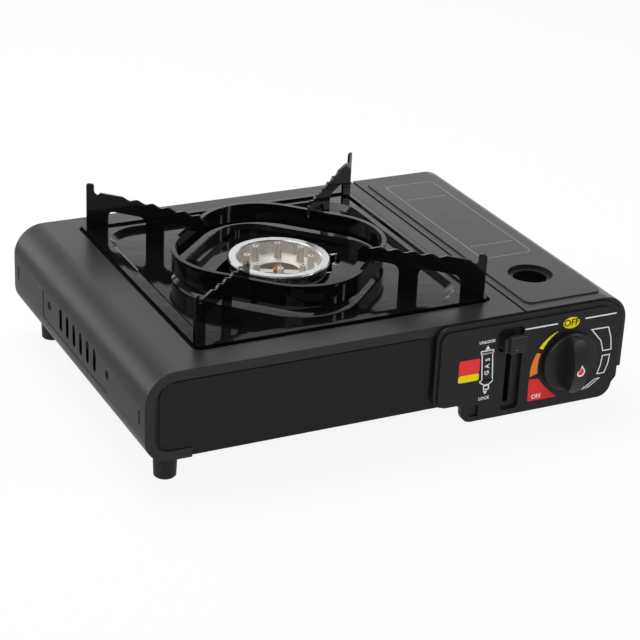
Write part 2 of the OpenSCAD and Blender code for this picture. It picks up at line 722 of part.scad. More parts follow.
module burner_bracket() color("#8d9093") place() difference() {
    union() {
        translate([burner_x - bracket_reach, burner_y - bracket_half_w, cup_z - sheet])
            cube([2 * bracket_reach, 2 * bracket_half_w, sheet]);
        for (s = [0, 1]) translate([burner_x - bracket_reach + s * (2 * bracket_reach - sheet),
            burner_y - bracket_half_w, base_top]) cube([sheet, 2 * bracket_half_w, cup_z - base_top]);
        for (s = [-1, 1])
            translate([burner_x + s * (bracket_reach + 5.5) - 6, burner_y - bracket_half_w, base_top])
            cube([12, 2 * bracket_half_w, sheet]);
        translate([electrode_x - 14, burner_y - 5, cup_z - sheet]) cube([9, 10, sheet]);
        translate([electrode_x - 5 - sheet, burner_y - 5, cup_z - sheet])
            cube([sheet, 10, electrode_z[0] + 6 - cup_z]);
        translate([electrode_x - 5 - sheet, burner_y - 5, electrode_z[0] + 5]) cube([9 + sheet, 10, sheet]);
    }
    for (p = bracket_screw_points()) translate([p[0], p[1], base_top - 1]) cylinder(h = 3, r = 1.6);
    translate([electrode_x, burner_y, electrode_z[0]]) cylinder(h = 10, r = 2.6);
}

module igniter_body() color("#26262a") place() difference() {
    xz(ign_y[0], ign_y[1] - ign_y[0]) rounded(ign_x[0], ign_z[0], ign_x[1], ign_z[1], 2);
    bar_y(plunger_x, knob_z, ign_y[0] - 1, 19, plunger_r + run_gap);
}

module igniter_plunger() color("#d8d6cc")
place() bar_y(plunger_x, knob_z, cam_y + cam_t + play, 22, plunger_r);

// The igniter's lead, a soft wire from the igniter's back to the foot of the electrode
lead_r = 1.2;
lead_from_seam = [[8, 38, 40], [8, 42, 40], [5, 48, 41], [2, 56, 43], [1.4, 65, 45], [1.4, 74, 47],
    [-1, 82, 47], [-8, 90, 47], [-20, 98, 46], [-35, 106, 44], [-50, 114, 42], [-62, 121, 41],
    [-69, 125, 41], [-72, 126, 43], [-72, 126, 48]];
lead_route = [for (p = lead_from_seam) p + [seam_x, 0, 0]];

// Unit vector along the lead at point k
function lead_dir(k) = let (a = lead_route[max(k - 1, 0)], b = lead_route[min(k + 1, len(lead_route) - 1)])
    (b - a) / norm(b - a);

// A ring of eight points around point k of the lead
function lead_ring(k) = let (d = lead_dir(k), s = abs(d[2]) > 0.8 ? [1, 0, 0] : [0, 0, 1],
    u = cross(d, s) / norm(cross(d, s)), v = cross(d, u))
    [for (a = [0 : 45 : 315]) lead_route[k] + lead_r * (cos(a) * u + sin(a) * v)];

module igniter_lead() color("#b33a2c") place() {
    n = len(lead_route);
    polyhedron(points = [for (k = [0 : n - 1]) each lead_ring(k)],
        faces = concat([[7, 6, 5, 4, 3, 2, 1, 0]],
            [for (k = [0 : n - 2], j = [0 : 7])
                [8 * k + j, 8 * k + (j + 1) % 8, 8 * (k + 1) + (j + 1) % 8, 8 * (k + 1) + j]],
            [[for (j = [0 : 7]) 8 * (n - 1) + j]]));
}

module electrode_ceramic() color("#e9e6dc")
place() translate([electrode_x, burner_y, electrode_z[0]]) difference() {
    union() {
        cylinder(h = electrode_z[1] - electrode_z[0], r = 2.5);
        translate([0, 0, 5 + sheet]) cylinder(h = 2.5, r = 4);
    }
    translate([0, 0, 1]) cylinder(h = 40, r = 0.9);
}

module electrode_wire() color("#b9bcc0") place() {
    top = bowl_rim_z + 3;
    translate([electrode_x, burner_y, electrode_z[0] + 1]) cylinder(h = top - electrode_z[0] - 1, r = 0.85);
    translate([electrode_x, burner_y, top]) sphere(0.85);
    bar_x(burner_y, top, burner_x + burner_r + 3.5, electrode_x - burner_x - burner_r - 3.5, 0.85);
}

// Path of the carriage pin in the lever, for a share t of the swing
function cam_point(t) = let (a = t * lever_swing, y = pin_rel[0] - t * carriage_travel, z = pin_rel[1])
    [y * cos(a) + z * sin(a), z * cos(a) - y * sin(a)];

// The middle of the circle through three points
function arc_middle(a, b, c) = let (u = b - a, v = c - a, d = 2 * cross(u, v))
    a + [v[1] * (u * u) - u[1] * (v * v), u[0] * (v * v) - v[0] * (u * u)] / d;

// The path is so close to an arc that the slot is cut as one
path_mid = arc_middle(cam_point(0), cam_point(0.5), cam_point(1));
path_r = norm(cam_point(0) - path_mid);
function path_angle(t) = let (d = cam_point(t) - path_mid) atan2(d[1], d[0]);

// A band of half width h along the cam path
module cam_band(h) {
    a = [path_angle(0) - 0.4, path_angle(0.5), path_angle(1) + 0.4];
    translate(path_mid) intersection() {
        difference() {
            circle(path_r + h);
            circle(path_r - h);
        }
        polygon([[0, 0], for (k = a) 2 * path_r * [cos(k), sin(k)]]);
    }
    for (t = [0, 1]) translate(cam_point(t)) circle(h);
}

module arm_outline(half, len) rotate(180 - arm_rise) translate([0, -half]) square([len, 2 * half]);

module lock_lever() color("#9a9da0")
place() yz(lever_x - lever_t / 2, lever_t) translate([pivot_y, pivot_z]) difference() {
    union() {
        circle(7);
        arm_outline(arm_half, arm_len);
        polygon([[-5, 2], cam_point(1), cam_point(0.5), cam_point(0), [5, 2]]);
        cam_band(6);
    }
    cam_band(cam_pin_r + play + run_gap);
    circle(pivot_r + run_gap);
}

module lever_knob() color("#161617") place() difference() {
    union() {
        yz(lever_x - 4.8, 12.6)
            rounded(knob_tab_y - 2.4, knob_tab_z - tab_half, knob_tab_y + 2.4, knob_tab_z + tab_half, 2);
        yz(lever_x - 8.3, 3.6) rounded(knob_tab_y - 1, knob_tab_z - 5, knob_tab_y + 1, knob_tab_z + 5, 0.9);
    }
    yz(lever_x - lever_t / 2 - fit_gap, lever_t + 2 * fit_gap) translate([pivot_y, pivot_z])
        arm_outline(arm_half + fit_gap, arm_len + fit_gap);
}

module lever_pin() color("#b9bcc0") place() {
    bar_x(pivot_y, pivot_z, lever_x - lever_t / 2 - 1.2, shield_x - lever_x + lever_t / 2 + 1.2, pivot_r);
    bar_x(pivot_y, pivot_z, shield_x - eps, sheet, 1.6 - run_gap);
    bar_x(pivot_y, pivot_z, lever_x - lever_t / 2 - 2, 1.6, 4);
    bar_x(pivot_y, pivot_z, lever_x + lever_t / 2 + play, 2, 4.5);
}

module canister_carriage() color("#b5b8ba") place() {
    y0 = pivot_y + pin_rel[0];
    z0 = pivot_z + pin_rel[1];
    x0 = lever_x + lever_t / 2 + 1;
    translate([canister_x - carriage_w / 2, y0 - 4, carriage_z])
        cube([carriage_w, carriage_len, carriage_t]);
    translate([x0, y0 - 4, carriage_z])
        cube([canister_x - carriage_w / 2 + 1 - x0, carriage_arm, carriage_t]);
    translate([x0, y0 - 4, carriage_z]) cube([1.5, carriage_arm, z0 + 4 - carriage_z]);
    bar_x(y0, z0, lever_x - lever_t / 2 - 1, x0 - lever_x + lever_t / 2 + 1.5, cam_pin_r);
    for (s = [-1, 1]) translate([canister_x + s * 14 - 2, y0 - 4, carriage_z]) cube([4, 1.5, 15]);
    translate([x0, y0 + 4, carriage_z]) cube([shield_x - x0 - 1, 1, 5.4]);
}

module lid() color("#424143") place() difference() {
    y_rear = case_d - knuckle_y0 - knuckle_len;
    union() {
        xz(0, case_d) difference() {
            lid_profile(0, lid_x0, lid_skirt_z);
            lid_profile(sheet, lid_x0 - 1, lid_skirt_z - 1);
        }
        for (y = [0, case_d - sheet + fit_gap]) xz(y, sheet - fit_gap) difference() {
            lid_profile(0, lid_x0, lid_skirt_z);
            lid_profile(2.5, lid_x0 - 1, lid_skirt_z - 1);
        }
        translate([lid_x0, inner_y0 + play, seam_ledge_z + sheet + play])
            cube([sheet, inner_d - 2 * play, inner_top - seam_ledge_z - play]);
        translate([0, 0, deck_h - sheet / 2]) linear_extrude(emboss_h + sheet / 2)
            rounded(lid_panel_x[0], lid_panel_y[0], lid_panel_x[1], lid_panel_y[1], lid_panel_r);
        for (y = [knuckle_y0, y_rear]) {
            bar_y(hinge_x, hinge_z, y, knuckle_len, knuckle_r);
            translate([case_w - sheet, y, hinge_z]) cube([sheet, knuckle_len, lid_skirt_z - hinge_z + 1]);
        }
        translate([sight_hole_x, sight_hole_y, deck_h - dish_drop]) difference() {
            cylinder(h = dish_drop + emboss_h, r = dish_r + 0.6);
            translate([0, 0, sheet]) rotate_extrude()
                polygon([[0, 0], [sight_hole_r + 1, 0], [dish_r - 0.4, dish_drop],
                    [dish_r, dish_drop + 1], [0, dish_drop + 1]]);
        }
    }
    difference() {
        translate([0, 0, deck_h - 2 * sheet]) linear_extrude(2 * sheet)
            rounded(lid_panel_x[0] + sheet, lid_panel_y[0] + sheet, lid_panel_x[1] - sheet,
                lid_panel_y[1] - sheet, lid_panel_r - sheet);
        translate([sight_hole_x, sight_hole_y, 0]) cylinder(h = deck_h + 1, r = dish_r + 0.6);
    }
    translate([sight_hole_x, sight_hole_y, deck_h - dish_drop + sheet]) cylinder(h = 9, r = dish_r - 0.4);
    translate([sight_hole_x, sight_hole_y, 0]) cylinder(h = deck_h + 9, r = sight_hole_r);
    bar_y(hinge_x, hinge_z, 0, case_d, hinge_pin_r + run_gap);
}

module hinge_pin(y) color("#b9bcc0") place() bar_y(hinge_x, hinge_z, y, pin_len, hinge_pin_r);
module hinge_pin_front() hinge_pin(knuckle_y0);
module hinge_pin_rear() hinge_pin(case_d - knuckle_y0 - pin_len);

// A thin slice of a shape, for the ends of a sloping wall
module slice(z) translate([0, 0, z]) linear_extrude(eps) children();

module drip_tray() color("#141416") place() translate([burner_x, burner_y, 0]) {
    h = land_z - floor_z;
    difference() {
        translate([0, 0, ledge_z]) linear_extrude(rim_top - ledge_z) rounded_square(tray_half, tray_r);
        translate([0, 0, ledge_z - 1]) linear_extrude(rim_top) rounded_square(tray_half - rim_w, 1);
    }
    difference() {
        union() {
            translate([0, 0, land_z - tray_t])
                linear_extrude(tray_t) rounded_square(tray_half - rim_w + eps, 1);
            hull() {
                slice(land_z - eps) rounded_square(channel_half + tray_t, channel_r);
                slice(floor_z - tray_t)
                    rounded_square(channel_half + tray_t - channel_slope, channel_r - channel_slope);
            }
        }
        hull() {
            slice(land_z) rounded_square(channel_half, channel_r);
            slice(floor_z) rounded_square(channel_half - channel_slope, channel_r - channel_slope);
        }
        translate([0, 0, floor_z - tray_t - 1]) linear_extrude(tray_t + 3)
            diamond(pedestal_flat + pedestal_slope - tray_t / 2, pedestal_r + 4 - tray_t / 2);
    }
    difference() {
        hull() {
            slice(floor_z - tray_t) diamond(pedestal_flat + pedestal_slope, pedestal_r + 4);
            slice(pedestal_z - eps) diamond(pedestal_flat, pedestal_r);
        }
        hull() {
            slice(floor_z - tray_t - eps)
                diamond(pedestal_flat + pedestal_slope - tray_t, pedestal_r + 4 - tray_t);
            slice(pedestal_z - tray_t) diamond(pedestal_flat - tray_t, pedestal_r - tray_t);
        }
        translate([0, 0, floor_z]) linear_extrude(rim_top) diamond(step_flat, step_r);
    }
    difference() {
        translate([0, 0, hole_z - tray_t]) linear_extrude(pedestal_z - hole_z + tray_t)
            diamond(step_flat + tray_t, step_r + tray_t);
        translate([0, 0, hole_z]) linear_extrude(rim_top) diamond(step_flat, step_r);
        translate([0, 0, floor_z]) linear_extrude(rim_top) diamond(hole_flat, hole_r);
    }
}

module trivet_ring() color("#141416")
place() translate([burner_x, burner_y, 0]) rotate([0, 0, trivet_turn]) difference() {
    union() {
        translate([0, 0, ring_top - ring_h]) linear_extrude(ring_h) difference() {
            diamond(ring_flat + ring_t / 2, ring_r + ring_t / 2);
            diamond(ring_flat - ring_t / 2, ring_r - ring_t / 2);
        }
        translate([0, 0, ring_top - bead_h]) linear_extrude(bead_h) difference() {
            diamond(ring_flat + bead_t / 2, ring_r + bead_t / 2);
            diamond(ring_flat - bead_t / 2, ring_r - bead_t / 2);
        }
    }
    for (a = [45, 135]) rotate([0, 0, a]) translate([-100, -fin_t / 2 - fit_gap, fin_under - fit_gap])
        cube([200, fin_t + 2 * fit_gap, ring_h]);
}

// Height of the pan rest along the fin
function rest_line(r) = rest_h - (scallop_from - r) * 3 / (scallop_from - scallop_to);
scallop_pitch = (scallop_from - scallop_to) / scallop_count;
scallop_points = [for (k = [0 : 6 * scallop_count]) let (r = scallop_from - k * scallop_pitch / 6)
    [r, rest_line(r) - scallop_depth * pow(sin(30 * k), 2)]];

// Points on an arc of radius r, for round corners in a list of points
function arc_points(x, z, r, a0, a1) =
    [for (k = [0 : 4]) let (a = a0 + (a1 - a0) * k / 4) [x + r * cos(a), z + r * sin(a)]];

// Side view of a fin: distance from the middle, and height above the ground
module fin_outline() polygon(concat(
    arc_points(fin_out - prong_tip, prong_top - prong_tip, prong_tip, 0, 90),
    arc_points(fin_out - prong_w + prong_tip, prong_top - prong_tip, prong_tip, 90, 180),
    arc_points(fin_out - prong_w - valley_r, rest_h + 0.6, valley_r, 0, -150),
    [[fin_out - prong_w - 2 * valley_r - 0.1, rest_h]],
    scallop_points,
    [[scallop_to - 1.5, ring_top + 6.5], [fin_in, ring_top + 5.5], [fin_in, fin_under],
    [ring_flat + 2, fin_under], [ring_flat + 2, ring_top - 0.5]],
    arc_points(leg_mid_in - window_r, ring_top - 0.5 - window_r, window_r, 90, 0),
    [[leg_mid_in, floor_z], [leg_mid_out, floor_z]],
    arc_points(leg_mid_out + window_r, window_top - window_r, window_r, 180, 90),
    arc_points(leg_out_in - window_r, window_top - window_r, window_r, 90, 0),
    [[leg_out_in, land_z], [fin_out - 6, land_z], [fin_out - 6, rim_top], [fin_out, rim_top]]));

module fin(turn) color("#141416")
place() translate([burner_x, burner_y, 0]) rotate([0, 0, turn + trivet_turn])
    translate([0, fin_t / 2, 0]) rotate([90, 0, 0]) linear_extrude(fin_t) fin_outline();
module fin_rear_right() fin(45);
module fin_rear_left() fin(135);
module fin_front_left() fin(225);
module fin_front_right() fin(315);

// A foot of height h with a recess for its screw
module foot(x, y, h) color("#1d1d1f") place() translate([x, y, 0]) rotate_extrude() polygon([[4, 0],
    [foot_r - 1.4, 0], [foot_r - 0.7, 0.7], [foot_r, h], [1.9, h], [1.9, 3.5], [4, 3.5]]);
module foot_front_left() foot(foot_left_x, foot_y, case_floor_h);
module foot_rear_left() foot(foot_left_x, case_d - foot_y, case_floor_h);
module foot_front_right() foot(case_w - foot_right_x, foot_y, bay_floor_h);
module foot_rear_right() foot(case_w - foot_right_x, case_d - foot_y, bay_floor_h);

module side_screws() color("#3c3c3e") place() for (y = side_screw_y) {
    bar_x(y, side_screw_z, fit_gap / 2, sheet * 0.6 - fit_gap / 2, 3);
    bar_x(y, side_screw_z, fit_gap, 6, 1.5);
    difference() {
        bar_x(y, side_screw_z, 2 * sheet, 2.4, 3);
        bar_x(y, side_screw_z, sheet, 6, 1.2);
    }
}

module foot_screws() color("#b9bcc0") place() for (y = [foot_y, case_d - foot_y]) {
    translate([foot_left_x, y, 2]) cylinder(h = 1.5, r = 3.6);
    translate([foot_left_x, y, 2]) cylinder(h = base_top, r = 1.7);
    translate([foot_left_x, y, base_top]) cylinder(h = 2, r = 3.2, $fn = 6);
    translate([case_w - foot_right_x, y, 2]) cylinder(h = 1.5, r = 3.6);
    translate([case_w - foot_right_x, y, 2]) cylinder(h = bay_top - 1, r = 1.7);
    translate([case_w - foot_right_x, y, bay_top]) cylinder(h = 1.2, r = 3.2, $fn = 6);
}

module panel_screws() color("#b9bcc0") place() for (p = panel_screw_points()) {
    bar_y(p[0], p[1], 2 * plate_y, 1.4, 2.8);
    bar_y(p[0], p[1], -1.5, 4, 1.15);
}

module bracket_screws() color("#b9bcc0") place() for (p = bracket_screw_points()) {
    translate([p[0], p[1], base_top + sheet]) cylinder(h = 1.6, r = 3);
    translate([p[0], p[1], base_z - 1]) cylinder(h = 4, r = 1.3);
}

case_shell();
front_plate();
rear_plate();
base_plate();
bay_trough();
heat_shield();
vent_baffle();
control_panel();
gas_knob();
valve_spindle();
regulator_body();
regulator_bracket();
canister_seat();
seal_ring();
gas_pipe();
jet_holder();
mixing_tube();
burner_base();
burner_ring();
burner_bar();
burner_nozzle();
burner_bracket();
igniter_body();
igniter_plunger();
igniter_lead();
electrode_ceramic();
electrode_wire();
lock_lever();
lever_knob();
lever_pin();
canister_carriage();
lid();
hinge_pin_front();
hinge_pin_rear();
drip_tray();
trivet_ring();
fin_front_left();
fin_front_right();
fin_rear_left();
fin_rear_right();
foot_front_left();
foot_front_right();
foot_rear_left();
foot_rear_right();
side_screws();
foot_screws();
panel_screws();
bracket_screws();
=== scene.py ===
"""Looks of a portable butane cassette stove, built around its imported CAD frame.

Every visible sheet-metal, plastic and cast piece is a merged copy of its CAD node with rounded
edges and a procedural finish. Printed marks are thin layers of ink that lie on the moulding, and
the small screws come from a node tree. Lengths are in metres, and values named *_mm are in
millimetres in the maker's frame: x from the left wall, y from the front sheet, z from the ground.
"""

import json
import logging
import math
from collections.abc import Callable, Iterable, Sequence
from dataclasses import dataclass, field
from enum import Enum

import bmesh
import bpy
from mathutils import Matrix, Vector

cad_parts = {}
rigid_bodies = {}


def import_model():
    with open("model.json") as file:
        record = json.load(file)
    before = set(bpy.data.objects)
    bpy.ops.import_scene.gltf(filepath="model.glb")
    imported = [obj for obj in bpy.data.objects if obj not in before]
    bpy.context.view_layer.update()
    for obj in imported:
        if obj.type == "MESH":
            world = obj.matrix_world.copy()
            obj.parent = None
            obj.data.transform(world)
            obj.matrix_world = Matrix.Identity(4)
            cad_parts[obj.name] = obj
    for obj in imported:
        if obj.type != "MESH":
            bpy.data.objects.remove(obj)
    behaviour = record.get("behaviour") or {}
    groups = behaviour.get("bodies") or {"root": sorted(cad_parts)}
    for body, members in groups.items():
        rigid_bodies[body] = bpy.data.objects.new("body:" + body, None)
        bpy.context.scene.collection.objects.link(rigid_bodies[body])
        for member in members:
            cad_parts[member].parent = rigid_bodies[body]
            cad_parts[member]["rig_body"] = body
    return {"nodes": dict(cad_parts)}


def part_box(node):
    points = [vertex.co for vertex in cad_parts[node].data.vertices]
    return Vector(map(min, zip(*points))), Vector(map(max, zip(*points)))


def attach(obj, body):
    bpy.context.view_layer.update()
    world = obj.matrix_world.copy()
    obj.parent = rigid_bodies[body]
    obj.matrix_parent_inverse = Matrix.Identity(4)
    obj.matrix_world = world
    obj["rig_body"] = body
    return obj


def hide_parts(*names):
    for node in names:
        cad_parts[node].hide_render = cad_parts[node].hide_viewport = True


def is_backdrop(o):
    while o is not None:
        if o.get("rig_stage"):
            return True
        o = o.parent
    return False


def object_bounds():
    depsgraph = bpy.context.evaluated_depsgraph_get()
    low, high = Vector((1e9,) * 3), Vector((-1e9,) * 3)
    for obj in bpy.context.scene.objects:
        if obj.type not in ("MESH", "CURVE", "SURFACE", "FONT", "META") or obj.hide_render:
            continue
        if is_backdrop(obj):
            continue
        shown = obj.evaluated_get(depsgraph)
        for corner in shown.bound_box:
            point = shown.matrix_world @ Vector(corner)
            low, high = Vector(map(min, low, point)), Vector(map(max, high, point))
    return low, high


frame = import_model()

LOG = logging.getLogger("stove")
MM = 0.001

Point = tuple[float, float]
Colour = tuple[float, float, float]
Feeds = dict[str | int, object]
Edge = bmesh.types.BMEdge
Tree = bpy.types.NodeTree
Socket = bpy.types.NodeSocket
EdgeWeight = Callable[[Edge], float]
PLANE_SLACK = 0.00002
FRONT_AXES = (Vector((1, 0, 0)), Vector((0, 0, 1)), Vector((0, -1, 0)))
TOP_AXES = (Vector((1, 0, 0)), Vector((0, 1, 0)), Vector((0, 0, 1)))


def linear(tone: float) -> float:
    """Return the linear value of a display tone from 0 to 255."""
    share = tone / 255
    return share / 12.92 if share <= 0.04045 else ((share + 0.055) / 1.055) ** 2.4


def placed(name: str, data: bpy.types.ID) -> bpy.types.Object:
    """Make an object and link it to the scene.

    Args:
        name: Name of the object.
        data: What it shows.

    Returns:
        The new object.
    """
    made = bpy.data.objects.new(name, data)
    bpy.context.scene.collection.objects.link(made)
    return made


# ---------------------------------------------------------------------------------------------
# Finishes


@dataclass(frozen=True)
class GrainShape:
    """Size of a grain's bumps, their depth and how far they stretch along the depth of the stove."""

    size: float
    depth: float
    variation: float
    stretch: float = 1.0


class Grain(Enum):
    """How the surface of a finish is broken up at close range."""

    POWDER = GrainShape(size=0.0009, depth=0.000012, variation=0.10)
    ENAMEL = GrainShape(size=0.016, depth=0.00010, variation=0.05)
    MOULDED = GrainShape(size=0.0006, depth=0.000016, variation=0.08)
    BRUSHED = GrainShape(size=0.0008, depth=0.000010, variation=0.18, stretch=14.0)
    CAST = GrainShape(size=0.0013, depth=0.000045, variation=0.22)
    INK = GrainShape(size=0.0007, depth=0.000006, variation=0.06)


@dataclass(frozen=True)
class Finish:
    """One finish of the stove: its display tones, its sheen and its grain."""

    name: str
    tones: Colour
    roughness: float
    grain: Grain
    metallic: float = 0.0
    specular: float = 0.5
    coat: float = 0.0
    dust: float = 0.0
    smudge: float = 0.06


class Finishes(Enum):
    """All finishes, named after the record's material slots and the printing inks."""

    CASE = Finish("case_coat", (34, 33, 33), 0.34, Grain.POWDER, specular=0.4, dust=0.03)
    PLATE = Finish("plate_coat", (28, 27, 28), 0.4, Grain.POWDER, specular=0.22, dust=0.02)
    ZINC = Finish("zinc_steel", (150, 152, 154), 0.42, Grain.BRUSHED, metallic=1.0)
    PANEL = Finish("panel_plastic", (30, 29, 31), 0.4, Grain.MOULDED, specular=0.3, dust=0.02)
    KNOB = Finish("knob_plastic", (38, 37, 39), 0.34, Grain.MOULDED, specular=0.3)
    BRASS = Finish("brass", (196, 158, 98), 0.28, Grain.BRUSHED, metallic=1.0)
    DIECAST = Finish("diecast", (160, 160, 157), 0.45, Grain.CAST, metallic=1.0)
    SEAL = Finish("seal_rubber", (24, 24, 24), 0.7, Grain.MOULDED, specular=0.3)
    TUBE = Finish("tube_aluminium", (184, 186, 188), 0.34, Grain.BRUSHED, metallic=1.0)
    CASTING = Finish("burner_casting", (214, 210, 203), 0.5, Grain.CAST, metallic=0.85)
    POLISH = Finish("burner_polish", (228, 229, 232), 0.27, Grain.BRUSHED, metallic=1.0)
    IGNITER = Finish("igniter_plastic", (30, 30, 34), 0.5, Grain.MOULDED)
    PLUNGER = Finish("igniter_plunger", (216, 213, 203), 0.4, Grain.MOULDED)
    LEAD = Finish("lead_silicone", (170, 44, 34), 0.5, Grain.MOULDED)
    CERAMIC = Finish("ceramic", (232, 228, 216), 0.18, Grain.ENAMEL, coat=0.5)
    STEEL = Finish("bright_steel", (186, 188, 191), 0.3, Grain.BRUSHED, metallic=1.0)
    BLACKENED = Finish("black_steel", (12, 12, 13), 0.45, Grain.BRUSHED, specular=0.12)
    ENAMEL = Finish("enamel", (13, 13, 14), 0.08, Grain.ENAMEL, specular=0.3)
    FOOT = Finish("foot_plastic", (28, 28, 30), 0.55, Grain.MOULDED, specular=0.35)
    INK_WHITE = Finish("ink_white", (248, 248, 250), 0.5, Grain.INK, specular=0.2)
    INK_GREY = Finish("ink_grey", (158, 158, 163), 0.5, Grain.INK, specular=0.2)
    INK_YELLOW = Finish("ink_yellow", (250, 230, 20), 0.5, Grain.INK, specular=0.1)
    INK_ORANGE = Finish("ink_orange", (255, 140, 58), 0.5, Grain.INK, specular=0.1)
    INK_RED = Finish("ink_red", (244, 62, 64), 0.5, Grain.INK, specular=0.1)
    INK_DARK = Finish("ink_dark", (60, 50, 14), 0.5, Grain.INK, specular=0.1)


@dataclass
class NodeKit:
    """Adds nodes to one node tree and feeds them."""

    tree: Tree

    @classmethod
    def group(cls, name: str, inputs: dict[str, str], outputs: dict[str, str]) -> "NodeKit":
        """Make an empty shader group.

        Args:
            name: Name of the group.
            inputs: Socket type of each input by its name.
            outputs: Socket type of each output by its name.
        """
        tree = bpy.data.node_groups.new(name, "ShaderNodeTree")
        for direction, sockets in (("INPUT", inputs), ("OUTPUT", outputs)):
            for label, kind in sockets.items():
                tree.interface.new_socket(name=label, in_out=direction, socket_type=kind)
        tree.nodes.new("NodeGroupInput").name = "in"
        tree.nodes.new("NodeGroupOutput").name = "out"
        return cls(tree)

    def feed(self, node: bpy.types.Node, feeds: Feeds) -> None:
        """Link or set inputs of a node.

        Args:
            node: The node.
            feeds: A socket or a plain value for each input, by its name or number.
        """
        for label, value in feeds.items():
            if isinstance(value, Socket):
                self.tree.links.new(value, node.inputs[label])
            else:
                node.inputs[label].default_value = value

    def node(self, kind: str, feeds: Feeds | None = None, **values: object) -> bpy.types.Node:
        """Add a node, set its properties and feed its inputs.

        Args:
            kind: Type name of the node.
            feeds: A socket or a plain value for each input that gets one.
            values: Properties to set on it.

        Returns:
            The new node.
        """
        made = self.tree.nodes.new(kind)
        for label, value in values.items():
            setattr(made, label, value)
        self.feed(made, feeds or {})
        return made

    def maths(self, operation: str, first: object, second: object) -> Socket:
        """Return the output of a new maths node, fed with two sockets or numbers."""
        return self.node("ShaderNodeMath", {0: first, 1: second}, operation=operation).outputs[0]

    def fade(
        self, source: Socket, start: Point, end: Point = (0.0, 1.0), interpolation: str = "LINEAR"
    ) -> Socket:
        """Add a node that takes one range of values to another.

        Args:
            source: The socket whose value is taken.
            start: Lowest and highest value that go in.
            end: What they become.
            interpolation: How the values between them run.

        Returns:
            The node's output.
        """
        ends = zip(("From Min", "From Max", "To Min", "To Max"), (*start, *end))
        feeds = {"Value": source, **dict(ends)}
        return self.node("ShaderNodeMapRange", feeds, interpolation_type=interpolation).outputs[0]


class SurfaceGroups:
    """The node groups that the finishes share: grain, handling marks and settled dust."""

    def __init__(self) -> None:
        """Build the three groups."""
        self.grain = self._grain()
        self.marks = self._marks()
        self.dust = self._dust()

    @staticmethod
    def _grain() -> Tree:
        """Return the group for fine bumps, as a height and a tone variation."""
        kit = NodeKit.group(
            "surface grain",
            {"Vector": "NodeSocketVector", "Size": "NodeSocketFloat", "Stretch": "NodeSocketFloat"},
            {"Height": "NodeSocketFloat", "Variation": "NodeSocketFloat"},
        )
        enter = kit.tree.nodes["in"].outputs
        density = kit.maths("DIVIDE", 1.0, enter["Size"])
        along = kit.maths("DIVIDE", density, enter["Stretch"])
        scale = kit.node("ShaderNodeCombineXYZ", {"X": density, "Y": along, "Z": density}).outputs[0]
        sides = {0: enter["Vector"], 1: scale}
        scaled = kit.node("ShaderNodeVectorMath", sides, operation="MULTIPLY").outputs[0]
        noise = kit.node(
            "ShaderNodeTexNoise", {"Scale": 1.0, "Detail": 3.0, "Roughness": 0.55, "Vector": scaled}
        ).outputs[0]
        cells = kit.node("ShaderNodeTexVoronoi", {"Scale": 0.8, "Vector": scaled}, feature="SMOOTH_F1")
        height = kit.maths("MULTIPLY", noise, 0.7)
        bumps = kit.maths("MULTIPLY", cells.outputs["Distance"], 0.3)
        total = kit.maths("ADD", height, bumps)
        kit.feed(kit.tree.nodes["out"], {"Height": total, "Variation": noise})
        return kit.tree

    @staticmethod
    def _marks() -> Tree:
        """Return the group for broad, faint patches left by handling."""
        sockets = {"Vector": "NodeSocketVector", "Scale": "NodeSocketFloat"}
        kit = NodeKit.group("handling marks", sockets, {"Mask": "NodeSocketFloat"})
        enter = kit.tree.nodes["in"].outputs
        feeds = {"Detail": 5.0, "Distortion": 0.6, "Vector": enter["Vector"], "Scale": enter["Scale"]}
        noise = kit.node("ShaderNodeTexNoise", feeds)
        kit.feed(kit.tree.nodes["out"], {"Mask": kit.fade(noise.outputs[0], (0.35, 0.7))})
        return kit.tree

    @staticmethod
    def _dust() -> Tree:
        """Return the group for dust, which lies thicker on what faces up."""
        kit = NodeKit.group(
            "settled dust",
            {"Vector": "NodeSocketVector", "Normal": "NodeSocketVector", "Amount": "NodeSocketFloat"},
            {"Mask": "NodeSocketFloat"},
        )
        enter = kit.tree.nodes["in"].outputs
        split = kit.node("ShaderNodeSeparateXYZ", {0: enter["Normal"]})
        upward = kit.maths("MAXIMUM", split.outputs["Z"], 0.15)
        specks = kit.node("ShaderNodeTexNoise", {"Scale": 260.0, "Detail": 6.0, "Vector": enter["Vector"]})
        amount = kit.maths("MULTIPLY", upward, enter["Amount"])
        kit.feed(kit.tree.nodes["out"], {"Mask": kit.maths("MULTIPLY", amount, specks.outputs[0])})
        return kit.tree


